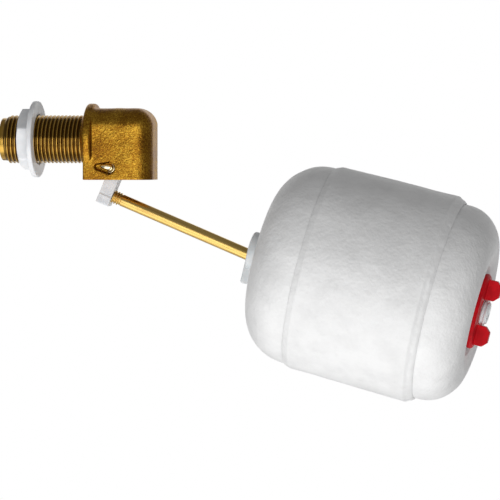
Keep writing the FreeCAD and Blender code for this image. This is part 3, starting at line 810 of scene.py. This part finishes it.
@dataclass(frozen=True)
class FloatSkin:
    """The float's rotomoulded skin: orange peel, soft dents, dull with a faint sheen."""

    slot: Slot = Slot.WHITE_FLOAT
    base: Colour = (0.83, 0.83, 0.83)
    shade: Colour = (0.71, 0.71, 0.71)

    def material(self) -> bpy.types.Material:
        """The finished material."""
        recipe = Recipe(self.slot.value)
        cloud = recipe.noise(14.0, 4.0, 0.6)
        peel = recipe.noise(2.6, 3.0, 0.55)
        pores = recipe.cells(1.5)
        grime = recipe.noise(5.0, 5.0, 0.65).between(0.55, 0.75)
        colour = recipe.mix(cloud.between(0.35, 0.7) * 0.6 + grime * 0.25, self.base, self.shade)
        height = peel * 0.75 + pores * 0.18 + grime * 0.10
        return recipe.surface(
            base_color=colour, roughness=0.36 + 0.16 * peel + 0.10 * grime,
            normal=recipe.bump(height, 0.42, 0.9),
            subsurface_weight=0.05, subsurface_radius=(1.0, 0.95, 0.9), subsurface_scale=0.6 * MM,
        )


@dataclass(frozen=True)
class Rubber:
    """Black moulded rubber with a dusty bloom."""

    slot: Slot = Slot.BLACK_RUBBER

    def material(self) -> bpy.types.Material:
        """The finished material."""
        recipe = Recipe(self.slot.value)
        bloom = recipe.noise(1.4, 4.0, 0.6)
        colour = recipe.mix(bloom.between(0.4, 0.75), (0.018, 0.018, 0.019), (0.055, 0.054, 0.052))
        return recipe.surface(
            base_color=colour, roughness=0.55 + 0.25 * bloom,
            normal=recipe.bump(recipe.noise(0.25), 0.02, 0.6),
        )


FINISHES = {
    finish.slot: finish for finish in (
        SandCast(),
        Turned(Slot.TURNED_BRASS, (0.50, 0.30, 0.062), (0.17, 0.080, 0.019), rough=0.13,
               root=10.02, crest=11.1),
        Turned(Slot.PIN_BRASS, (0.95, 0.82, 0.52), (0.62, 0.42, 0.14), rough=0.16),
        Drawn(Slot.ROD_BRASS, (0.78, 0.54, 0.17), (0.34, 0.18, 0.045), ROD.tilt),
        Moulded(Slot.WHITE_NYLON, (0.86, 0.865, 0.875), (0.76, 0.77, 0.79), depth=1.2),
        Moulded(Slot.WHITE_ACETAL, (0.80, 0.81, 0.83), (0.70, 0.715, 0.745), depth=1.6, mottle=1.6),
        FloatSkin(),
        Moulded(Slot.STEM_PLASTIC, (0.80, 0.82, 0.83), (0.70, 0.73, 0.745), depth=1.0, mottle=1.8),
        Moulded(Slot.RED_PLASTIC, (0.66, 0.006, 0.014), (0.48, 0.005, 0.011), rough=0.40,
                mottle=3.0, peel=0.02, shine=0.08),
        Rubber(),
    )
}


class Dresser:
    """Makes each finish once and puts it on pieces, which then ride, replace and take a slot."""

    def __init__(self) -> None:
        """Starts with no material made."""
        self.made: dict[Slot, bpy.types.Material] = {}

    def material(self, slot: Slot) -> bpy.types.Material:
        """The slot's material, made at its first use."""
        if slot not in self.made:
            self.made[slot] = FINISHES[slot].material()
        return self.made[slot]

    def dress(
        self, piece: bpy.types.Object, slot: Slot, body: Optional[str] = None,
        nodes: Sequence[str] = (),
    ) -> bpy.types.Object:
        """Gives a piece its material, its body and the nodes that it stands for.

        Args:
            piece: the piece, a new one or a CAD node.
            slot: the finish.
            body: the CAD body it rides on, for a new piece.
            nodes: the CAD nodes it replaces.

        Returns:
            The piece.
        """
        piece.data.materials.clear()
        piece.data.materials.append(self.material(slot))
        if body is not None:
            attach(piece, body)
        if nodes:
            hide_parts(*nodes)
        log.info("%s: %d faces, %s", piece.name, len(piece.data.polygons), slot.value)
        return piece


# --- valve ---------------------------------------------------------------------------------------

@dataclass
class Valve:
    """The casting, its threaded shank, the split pin and the parts inside."""

    dresser: Dresser
    skin: float = 0.38
    cut: float = -2.0
    bottom: float = -18.7
    pitch: float = 1.814
    crest: float = 11.1
    root: float = 10.02
    pin: tuple[float, float] = (12.05, -13.2)
    recess_floor: float = -9.6

    def casting(self) -> bpy.types.Object:
        """The rounded block and its collar, with a cast skin.

        Edges are eased, and cast faces move along their normals by two noises, 0.09 mm at 5 mm and
        0.035 mm at 1.2 mm. The sealing face, the bottom face and the bore keep their places.
        """
        piece = recast("valve_casting", "valve_body", self.skin, self.cut)
        mesh = piece.data
        flat = mesh_points(mesh)
        edges = mesh_edges(mesh)
        radial = np.hypot(flat[:, 1], flat[:, 2])
        machined = (flat[:, 0] < 0.25) | (radial < 7.6) | (flat[:, 2] < self.bottom + 0.3)
        corner = np.exp(-((flat[:, 0] - 4.0) / 1.6) ** 2) * smoothstep(12.0, 13.2, radial)
        share = np.where(machined, 0.35, 0.75)
        points = relaxed(flat, edges, 5, share)
        points = relaxed(points, edges, 14, corner)
        noise = LatticeNoise(11)
        rise = 0.09 * noise.layered(points, 5.0, 2) + 0.035 * noise.at(points, 1.2)
        outside = smoothstep(8.2, 9.4, np.maximum(radial, np.abs(flat[:, 1]) * 1.1))
        keep = outside * smoothstep(0.2, 1.0, flat[:, 0])
        keep *= smoothstep(self.bottom + 0.1, self.bottom + 0.9, flat[:, 2])
        set_mesh_points(mesh, points)
        normals = mesh_normals(mesh)
        set_mesh_points(mesh, points + normals * (rise * keep)[:, None])
        return self.dresser.dress(piece, Slot.CAST_BRASS, "valve", ["valve_body"])

    def shank(self) -> bpy.types.Object:
        """The threaded shank and the plain land at its end, bored through."""
        thread = Thread(-38.2, -0.6, self.crest, self.root, self.pitch, fade=1.3)
        head = rounded_path([
            (-40.5, 7.3, 0.35), (-40.5, 9.9, 0.45), (-38.3, 9.9, 0.25), (-38.2, self.root, 0),
        ], closed=False)
        head = np.concatenate([[[-30.0, 7.3], [-40.2, 7.3], [-40.5, 7.6]], head[1:]])
        tail = np.array([[-0.6, 7.06], [-8.95, 7.06], [-9.0, 7.3]])
        shell = thread.shell(120, 12, head, tail)
        piece = make_piece("shank_thread", shell, sharp=50)
        return self.dresser.dress(piece, Slot.TURNED_BRASS, "valve", ["valve_body"])

    def split_pin(self) -> bpy.types.Object:
        """The pin through the block, its eye folded flat to the left and its legs spread."""
        x, z = self.pin
        shaft_path = rounded_path([
            (self.recess_floor - 0.9, 0.0, 0), (self.recess_floor - 0.9, 1.45, 0.6),
            (14.2, 1.45, 0.4), (14.2, 0.0, 0),
        ], closed=False)
        shaft = revolved(shaft_path, 40, closed=False)
        turned = np.stack([x + shaft.points[:, 1], shaft.points[:, 0], z + shaft.points[:, 2]], 1)
        shaft = Shell(turned, shaft.faces)
        t = np.linspace(0, 1, 40)
        width = 1.42 * np.sqrt(np.sin(math.pi * t ** 0.8)) * (1 - 0.25 * t)
        leaf_path = np.stack([
            x + 0.9 - 5.6 * t,
            self.recess_floor - 0.75 - 0.35 * np.sin(math.pi * t),
            z + 0.1 + 0.75 * t,
        ], axis=1)
        leaf = swept(leaf_path, np.maximum(width, 0.02), 24, flatten=0.5)
        a = np.radians(np.linspace(-118, 62, 36))
        hook_path = np.stack([
            x + 0.15 + 2.05 * np.cos(a), np.full(36, self.recess_floor - 0.55), z + 2.05 * np.sin(a),
        ], axis=1)
        hook = swept(hook_path, 0.52 * np.sin(np.linspace(0.25, math.pi - 0.25, 36)), 16)
        legs = []
        for way in (1, -1):
            u = np.linspace(0, 1, 24)
            leg_path = np.stack([
                x + way * 4.6 * u, 13.55 + 0.2 * np.cos(u * 2), z + 0.25 * way * u,
            ], axis=1)
            legs.append(swept(leg_path, 0.72 * np.sqrt(np.clip(1.02 - u ** 6, 0, 1)), 16, 0.75))
        shell = shaft.joined(leaf).joined(hook).joined(legs[0]).joined(legs[1])
        piece = make_piece("split_pin", shell)
        return self.dresser.dress(piece, Slot.PIN_BRASS, "valve", ["pivot_pin"])

    def insides(self) -> None:
        """The CAD nodes inside the casting keep their shapes and get their finishes."""
        for node, slot in (
            ("seat_nozzle", Slot.TURNED_BRASS), ("nozzle_o_ring", Slot.BLACK_RUBBER),
            ("plunger", Slot.WHITE_ACETAL), ("plunger_seal", Slot.BLACK_RUBBER),
            ("seal_screw", Slot.TURNED_BRASS),
        ):
            self.dresser.dress(bpy.data.objects[node], slot)

    def build(self) -> None:
        """Builds every piece of the valve."""
        self.casting()
        self.shank()
        self.split_pin()
        self.insides()


@dataclass
class Backnut:
    """The flanged hexagon nut."""

    dresser: Dresser
    start: float = -31.5
    hex_length: float = 5.7
    flange: float = 2.3
    corner: float = 14.45
    turn: float = 20.2
    flange_radius: float = 17.65
    bore: float = 11.1925
    chamfer: float = 1.3
    cone: float = 0.9
    relief: float = 2.6
    pitch: float = 1.814

    def hexagon(self, angles: Array) -> Array:
        """The hexagon's radius: apothem / cos of the angle from the flat's middle, corners eased."""
        apothem = self.corner * math.cos(math.pi / 6)
        sixth = math.pi / 3
        from_middle = np.mod(angles - math.radians(self.turn), sixth) - sixth / 2
        return soft_min(apothem / np.cos(from_middle), np.full_like(angles, self.corner - 0.16), 0.3)

    def build(self) -> None:
        """Builds the nut.

        Each row is at one x. Its radius is the hexagon's, cut down to the chamfer's cone and raised
        to the flange's, then drawn in towards the bore by the row's own share.
        """
        columns = 6 * 36
        angles = np.arange(columns) * TURN / columns + math.radians(self.turn)
        hexagon = self.hexagon(angles)
        flange_x = self.start + self.hex_length
        end = flange_x + self.flange
        wide = 40.0
        rows = []
        slope = (self.relief - self.cone + 1) / self.chamfer
        foot = self.corner - self.relief + self.cone
        for share in np.linspace(0.22, 1, 7):
            rows.append((self.start + 0.02, foot - 0.12, 0.0, share))
        for step in np.linspace(0.04, 1.0, 12):
            x = self.start + step * self.chamfer
            rows.append((x, foot - 0.12 + slope * step * self.chamfer, 0.0, 1.0))
        for x in np.linspace(self.start + 1.5, flange_x - self.cone - 0.3, 8):
            rows.append((x, wide, 0.0, 1.0))
        rim = rounded_path([
            (flange_x - self.cone - 0.3, 11.5, 0), (flange_x - self.cone, 12.4, 0.4),
            (flange_x, self.flange_radius - 0.6, 0.5), (flange_x + 0.15, self.flange_radius, 0.45),
            (end, self.flange_radius, 0.55), (end, self.bore + 0.8, 0),
        ], closed=False, steps=6)
        rim = divided(rim, 0.7, closed=False)
        for x, radius in rim:
            within = wide if x < flange_x - 0.05 else radius
            rows.append((x, within, radius, 1.0))
        table = np.array(rows)
        outer = np.minimum(hexagon[None, :], table[:, 1:2])
        outer = np.where(table[:, 2:3] > 0, np.maximum(outer, table[:, 2:3]), outer)
        mouth = self.bore + 0.75
        radius = mouth + (outer - mouth) * ((table[:, 3:4] - 0.22) / 0.78)
        x = np.broadcast_to(table[:, :1], radius.shape)
        bore_x = np.linspace(end, self.start + 0.02, 80)[:, None]
        turns = (bore_x - self.start) / self.pitch - (angles - angles[0])[None, :] / TURN
        groove = smoothstep(0.15, 0.85, 1 - np.abs(2 * np.mod(turns, 1.0) - 1))
        inner = self.bore + 0.02 + 0.7 * groove
        lead = np.minimum(bore_x - self.start, end - bore_x)
        inner = np.maximum(inner, mouth - lead * 1.1)
        radius = np.concatenate([radius, inner])
        x = np.concatenate([x, np.broadcast_to(bore_x, inner.shape)])
        points = np.stack([x, -radius * np.cos(angles), radius * np.sin(angles)], -1).reshape(-1, 3)
        shell = Shell(points, grid_faces(len(x), columns, True, True))
        piece = make_piece("backnut", shell, sharp=26)
        self.dresser.dress(piece, Slot.WHITE_NYLON, "mounting_nut", ["mounting_nut"])


# --- arm -----------------------------------------------------------------------------------------

@dataclass
class Arm:
    """The lever and the rod screwed into it."""

    dresser: Dresser
    skin: float = 0.2
    rod_radius: float = 2.75
    rod_end: float = 86.0
    thread_end: float = 8.9
    thread_crest: float = 3.08
    thread_root: float = 2.42
    thread_pitch: float = 1.27

    def lever(self) -> bpy.types.Object:
        """The bell crank with its moulded edges eased."""
        piece = recast("bell_crank", "lever", self.skin)
        points = relaxed(mesh_points(piece.data), mesh_edges(piece.data), 9, 0.8)
        noise = LatticeNoise(23)
        set_mesh_points(piece.data, points)
        normals = mesh_normals(piece.data)
        rise = 0.03 * noise.layered(points, 3.5, 2)
        set_mesh_points(piece.data, points + normals * rise[:, None])
        return self.dresser.dress(piece, Slot.WHITE_ACETAL, "float_arm", ["lever"])

    def rod(self) -> bpy.types.Object:
        """The rod, with the few turns of its thread that show beside the lever."""
        thread = Thread(0.2, self.thread_end, self.thread_crest, self.thread_root,
                        self.thread_pitch, fade=0.7)
        tail = rounded_path([
            (self.thread_end, self.thread_root, 0), (self.thread_end + 0.35, self.rod_radius, 0.2),
            (self.rod_end, self.rod_radius, 0.4), (self.rod_end, 0.01, 0),
        ], closed=False)
        tail = divided(tail, 4.0, closed=False)
        head = np.array([[0.2, 0.01], [0.2, 1.2]])
        shell = thread.shell(48, 14, head, tail)
        piece = make_piece("rod", shell, ROD, sharp=50)
        return self.dresser.dress(piece, Slot.ROD_BRASS, "float_arm", ["float_rod"])

    def build(self) -> None:
        """Builds both pieces."""
        self.lever()
        self.rod()


# --- float ---------------------------------------------------------------------------------------

@dataclass
class Float:
    """The three welded shells, the stem through them and the washer."""

    dresser: Dresser
    near_face: float = 4.9
    band_start: float = 29.6
    band_end: float = 91.0
    far_face: float = 110.2
    dish_floor: float = 107.0
    near_radius: float = 46.2
    far_radius: float = 45.7
    band_near: float = 47.7
    band_far: float = 48.6
    widest: float = 48.88
    near_crown: float = 1.3
    near_corner: float = 22.0
    far_hollow: float = 1.6
    far_corner: float = 17.5
    near_ramp: float = 2.7
    far_ramp: float = 3.9
    lip: float = 0.3
    wall: float = 1.8
    hole: float = 9.15
    head: float = 8.9
    hub: float = 7.8
    hub_length: float = 18.0
    shaft: float = 5.5
    washer: float = 0.9
    nut_disc: float = 2.75
    stud_start: float = 84.0
    stud_root: float = 4.85
    stud_pitch: float = 1.6
    stud_stand: float = 3.2
    columns: int = 240
    noise: LatticeNoise = field(default_factory=lambda: LatticeNoise(37))

    def textured(self, shell: Shell, height: float) -> Shell:
        """Moves the outside in or out along the radius by noise at 26, 7 and 2.4 mm."""
        points = shell.points
        radial = np.hypot(points[:, 1], points[:, 2])
        outward = points.copy()
        outward[:, 0] = 0
        outward /= np.maximum(radial, 1e-6)[:, None]
        rise = (0.30 * self.noise.at(points, 26.0) + 0.13 * self.noise.at(points, 7.0)
                + 0.045 * self.noise.at(points, 2.4))
        amount = height * rise * smoothstep(14.0, 24.0, radial)
        return Shell(points + outward * amount[:, None], shell.faces)

    def near_dome(self) -> bpy.types.Object:
        """The end that the rod meets, a slightly conical face rounded into the side."""
        radius, wall, corner = self.near_radius, self.wall, self.near_corner
        crown, end = self.near_face + self.near_crown, self.band_start + 3.9
        path = rounded_path([
            (self.near_face, self.hole, 0.4), (crown, radius - corner, 0), (crown, radius, corner),
            (end, radius, 0.2), (end, radius - wall, 0.2),
            (crown + wall, radius - wall, corner - wall), (crown + wall, radius - corner, 0),
            (self.near_face + wall, self.hole, 0.2),
        ], steps=24)
        shell = self.textured(revolved(divided(path, 1.2), self.columns), 1.0)
        piece = make_piece("near_dome", shell, FLOAT)
        return self.dresser.dress(piece, Slot.WHITE_FLOAT, "float_arm", ["float_near_dome"])

    def far_dome(self) -> bpy.types.Object:
        """The other end, which dips towards the dish that the wing nut sits in."""
        radius, wall, corner = self.far_radius, self.wall, self.far_corner
        face, start = self.far_face, self.band_end - 3.9
        lip = face - self.far_hollow
        path = rounded_path([
            (start, radius, 0.2), (face, radius, corner), (face, radius - corner, 0),
            (lip, 21.0, 1.0), (self.dish_floor, 19.5, 0.8), (self.dish_floor, self.hole, 0.2),
            (self.dish_floor - wall, self.hole, 0.2), (self.dish_floor - wall, 21.3, 0.8),
            (lip - wall, 22.8, 0.8), (face - wall, radius - corner, 0),
            (face - wall, radius - wall, corner - wall), (start, radius - wall, 0.2),
        ], steps=24)
        shell = self.textured(revolved(divided(path, 1.2), self.columns), 1.0)
        piece = make_piece("far_dome", shell, FLOAT)
        return self.dresser.dress(piece, Slot.WHITE_FLOAT, "float_arm", ["float_far_dome"])

    def band(self) -> bpy.types.Object:
        """The sleeve between the domes, with sloping ends and a ragged weld bead on the far one.

        The bead is a bump in the radius on the slope, exp(-(distance / 0.6) ** 2), whose height
        follows noise round the float, and the slope's foot wanders along the axis. The radius
        levels off under the widest that the sleeve may be.
        """
        near, far = self.near_radius + 0.12, self.far_radius + 0.12
        path = rounded_path([
            (self.band_start, near, 0), (self.band_start, near + self.lip, 0.1),
            (self.band_start + self.near_ramp, self.band_near, 1.4),
            (self.band_end - self.far_ramp, self.band_far, 1.6),
            (self.band_end, far + self.lip, 0.1), (self.band_end, far, 0),
        ], steps=8)
        shell = revolved(divided(path, 0.9), self.columns + 120)
        points = shell.points
        angle = np.arctan2(points[:, 2], points[:, 1])
        round_it = np.stack([47 * np.cos(angle), 47 * np.sin(angle), np.zeros(len(angle))], axis=1)
        ragged = (0.7 * self.noise.layered(round_it, 5.0, 3) + 0.5).clip(0.0, 1.0)
        radial = np.hypot(points[:, 1], points[:, 2])
        outer = smoothstep(far + 0.1, far + 0.5, radial)
        at_far = np.exp(-((points[:, 0] - self.band_end + 1.1) / 0.6) ** 2) * outer
        at_near = np.exp(-((points[:, 0] - self.band_start - 0.5) / 0.6) ** 2) * outer
        grow = 1 + (0.75 * ragged * at_far + 0.15 * (1 - ragged) * at_near) / radial
        points = points * np.stack([np.ones(len(grow)), grow, grow], axis=1)
        edge = self.noise.layered(round_it + 50.0, 7.0, 3)
        points[:, 0] += 0.35 * edge * at_far - 0.2 * edge * at_near
        shell = self.textured(Shell(points, shell.faces), 0.8)
        radial = np.hypot(shell.points[:, 1], shell.points[:, 2])
        level = soft_min(radial, np.full_like(radial, self.widest), 0.2) / radial
        points = shell.points * np.stack([np.ones(len(level)), level, level], axis=1)
        piece = make_piece("band", Shell(points, shell.faces), FLOAT)
        return self.dresser.dress(piece, Slot.WHITE_FLOAT, "float_arm", ["float_band"])

    def stem(self) -> bpy.types.Object:
        """The through-bolt: head, hub, shaft and the screwed stud past the wing nut."""
        hub_end = self.near_face + self.hub_length
        thread_start, root = self.stud_start, self.stud_root
        end = self.dish_floor + self.washer + self.nut_disc + self.stud_stand
        thread = Thread(thread_start, end - 0.1, self.shaft, root, self.stud_pitch, fade=0.8)
        head = rounded_path([
            (0.0, 0.01, 0), (0.0, self.head, 0.9), (self.near_face, self.head, 0.25),
            (self.near_face, self.hub, 0.1), (hub_end, self.hub, 0.6), (hub_end, self.shaft, 0.3),
            (thread_start - 0.4, self.shaft, 0.2), (thread_start, root, 0),
        ], closed=False)
        tail = rounded_path([
            (end - 0.1, root, 0), (end, root - 0.25, 0), (end, 2.1, 0.3), (end - 1.6, 1.8, 0.3),
            (end - 1.6, 0.01, 0),
        ], closed=False)
        piece = make_piece("stem", thread.shell(96, 12, head, tail), FLOAT, sharp=50)
        return self.dresser.dress(piece, Slot.STEM_PLASTIC, "float_arm", ["float_stem"])

    def lug(self) -> bpy.types.Object:
        """The lug that stands down from the stem's head."""
        outline = rounded_path([
            (-0.7, -5.6, 0.3), (4.87, -5.6, 0.3), (4.87, -15.3, 1.0), (-0.55, -15.55, 1.1),
        ], steps=6)
        outline = divided(outline, 0.8)
        shell = slab(outline, -3.5, 3.5, 0.8)
        piece = make_piece("stem_lug", shell, FLOAT)
        return self.dresser.dress(piece, Slot.STEM_PLASTIC, "float_arm", ["float_stem"])

    def insides(self) -> None:
        """The CAD nodes that stay: core tube, O-ring and washer."""
        for node, slot in (
            ("float_core_tube", Slot.WHITE_FLOAT), ("stem_o_ring", Slot.BLACK_RUBBER),
            ("far_washer", Slot.BLACK_RUBBER),
        ):
            self.dresser.dress(bpy.data.objects[node], slot)

    def build(self) -> None:
        """Builds every piece of the float."""
        self.near_dome()
        self.far_dome()
        self.band()
        self.stem()
        self.lug()
        self.insides()


@dataclass
class WingNut:
    """The red nut with two wings."""

    dresser: Dresser
    skin: float = 0.24

    def build(self) -> None:
        """Builds the nut, its moulded edges eased."""
        piece = recast("wing_nut_red", "wing_nut", self.skin)
        points = relaxed(mesh_points(piece.data), mesh_edges(piece.data), 10, 0.8)
        set_mesh_points(piece.data, points)
        self.dresser.dress(piece, Slot.RED_PLASTIC, "wing_nut", ["wing_nut"])


# --- studio --------------------------------------------------------------------------------------

@dataclass(frozen=True)
class Panel:
    """A soft area light, placed by its own direction from the object's middle."""

    name: str
    azimuth: float
    elevation: float
    distance: float
    width: float
    height: float
    power: float
    colour: Colour = (1.0, 1.0, 1.0)


@dataclass
class Studio:
    """The floor, the lights and the camera."""

    target: tuple[float, float, float] = (0.07586, 0.0, -0.05094)
    azimuth: float = 10.1
    elevation: float = 1.5
    lens: float = 300.0
    frame_width: float = 0.230
    floor: float = -0.90
    panels: Sequence[Panel] = (
        Panel("front_panel", 8.0, -9.0, 1.3, 1.7, 0.75, 7.8),
        Panel("under_panel", -25.0, -52.0, 0.9, 1.8, 1.0, 7.0),
        Panel("back_panel", 190.0, 12.0, 1.4, 2.4, 1.6, 9.0),
    )

    def direction(self, azimuth: float, elevation: float) -> Vector:
        """The unit vector towards an azimuth, from -Y towards +X, and an elevation."""
        a, e = math.radians(azimuth), math.radians(elevation)
        return Vector((math.sin(a) * math.cos(e), -math.cos(a) * math.cos(e), math.sin(e)))

    def camera(self) -> None:
        """The camera, far enough for its lens to frame the object."""
        data = bpy.data.cameras.new("camera")
        data.lens = self.lens
        data.clip_end = 50.0
        camera = bpy.data.objects.new("camera", data)
        back = self.direction(self.azimuth, self.elevation)
        distance = self.frame_width * self.lens / data.sensor_width
        middle = Vector(self.target)
        camera.location = middle + back * distance
        camera.rotation_euler = back.to_track_quat("Z", "Y").to_euler()
        bpy.context.scene.collection.objects.link(camera)
        bpy.context.scene.camera = camera

    def lights(self) -> None:
        """The panels, each facing the object."""
        for panel in self.panels:
            data = bpy.data.lights.new(panel.name, "AREA")
            data.shape = "RECTANGLE"
            data.size, data.size_y = panel.width, panel.height
            data.energy = panel.power
            data.color = panel.colour
            light = bpy.data.objects.new(panel.name, data)
            back = self.direction(panel.azimuth, panel.elevation)
            light.location = Vector(self.target) + back * panel.distance
            light.rotation_euler = back.to_track_quat("Z", "Y").to_euler()
            light.visible_camera = False
            bpy.context.scene.collection.objects.link(light)

    def world(self) -> None:
        """A white backdrop to look at, and a dim grey surround to be lit by."""
        world = bpy.data.worlds.new("studio")
        world.use_nodes = True
        tree = world.node_tree
        tree.nodes.clear()
        seen, lit, mixed = (tree.nodes.new(kind) for kind in (
            "ShaderNodeBackground", "ShaderNodeBackground", "ShaderNodeMixShader"))
        path = tree.nodes.new("ShaderNodeLightPath")
        output = tree.nodes.new("ShaderNodeOutputWorld")
        seen.inputs["Color"].default_value = (1, 1, 1, 1)
        lit.inputs["Color"].default_value = (1.0, 1.0, 1.0, 1)
        lit.inputs["Strength"].default_value = 0.22
        tree.links.new(path.outputs["Is Camera Ray"], mixed.inputs[0])
        tree.links.new(lit.outputs[0], mixed.inputs[1])
        tree.links.new(seen.outputs[0], mixed.inputs[2])
        tree.links.new(mixed.outputs[0], output.inputs["Surface"])
        bpy.context.scene.world = world

    def ground(self) -> None:
        """A pale round floor, well below the hanging float."""
        columns = 96
        path = np.array([[0.0, 0.0], [900.0, 0.0], [1200.0, 0.0]])
        angles = np.arange(columns) * TURN / columns
        points = np.stack([
            74.0 + path[:, :1] * np.cos(angles), path[:, :1] * np.sin(angles),
            np.full((len(path), columns), self.floor / MM),
        ], axis=-1).reshape(-1, 3)
        shell = Shell(points, grid_faces(len(path), columns, False, True))
        piece = make_piece("studio_floor", shell)
        recipe = Recipe("studio_floor")
        cloud = recipe.noise(60.0, 3.0, 0.5)
        colour = recipe.mix(cloud, (0.84, 0.84, 0.84), (0.88, 0.88, 0.88))
        piece.data.materials.append(recipe.surface(
            base_color=colour, roughness=0.6, emission_color=(1.0, 1.0, 1.0, 1.0),
            emission_strength=0.35,
        ))

    def build(self) -> None:
        """Sets up the studio."""
        scene = bpy.context.scene
        scene.view_settings.view_transform = "Standard"
        self.camera()
        self.lights()
        self.world()
        self.ground()


def main() -> None:
    """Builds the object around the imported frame."""
    logging.basicConfig(level=logging.INFO, format="%(name)s: %(message)s")
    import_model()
    dresser = Dresser()
    for assembly in (
        Valve(dresser), Backnut(dresser), Arm(dresser), Float(dresser), WingNut(dresser), Studio(),
    ):
        assembly.build()
        log.info("%s built", type(assembly).__name__)


if __name__ == "__main__":
    main()
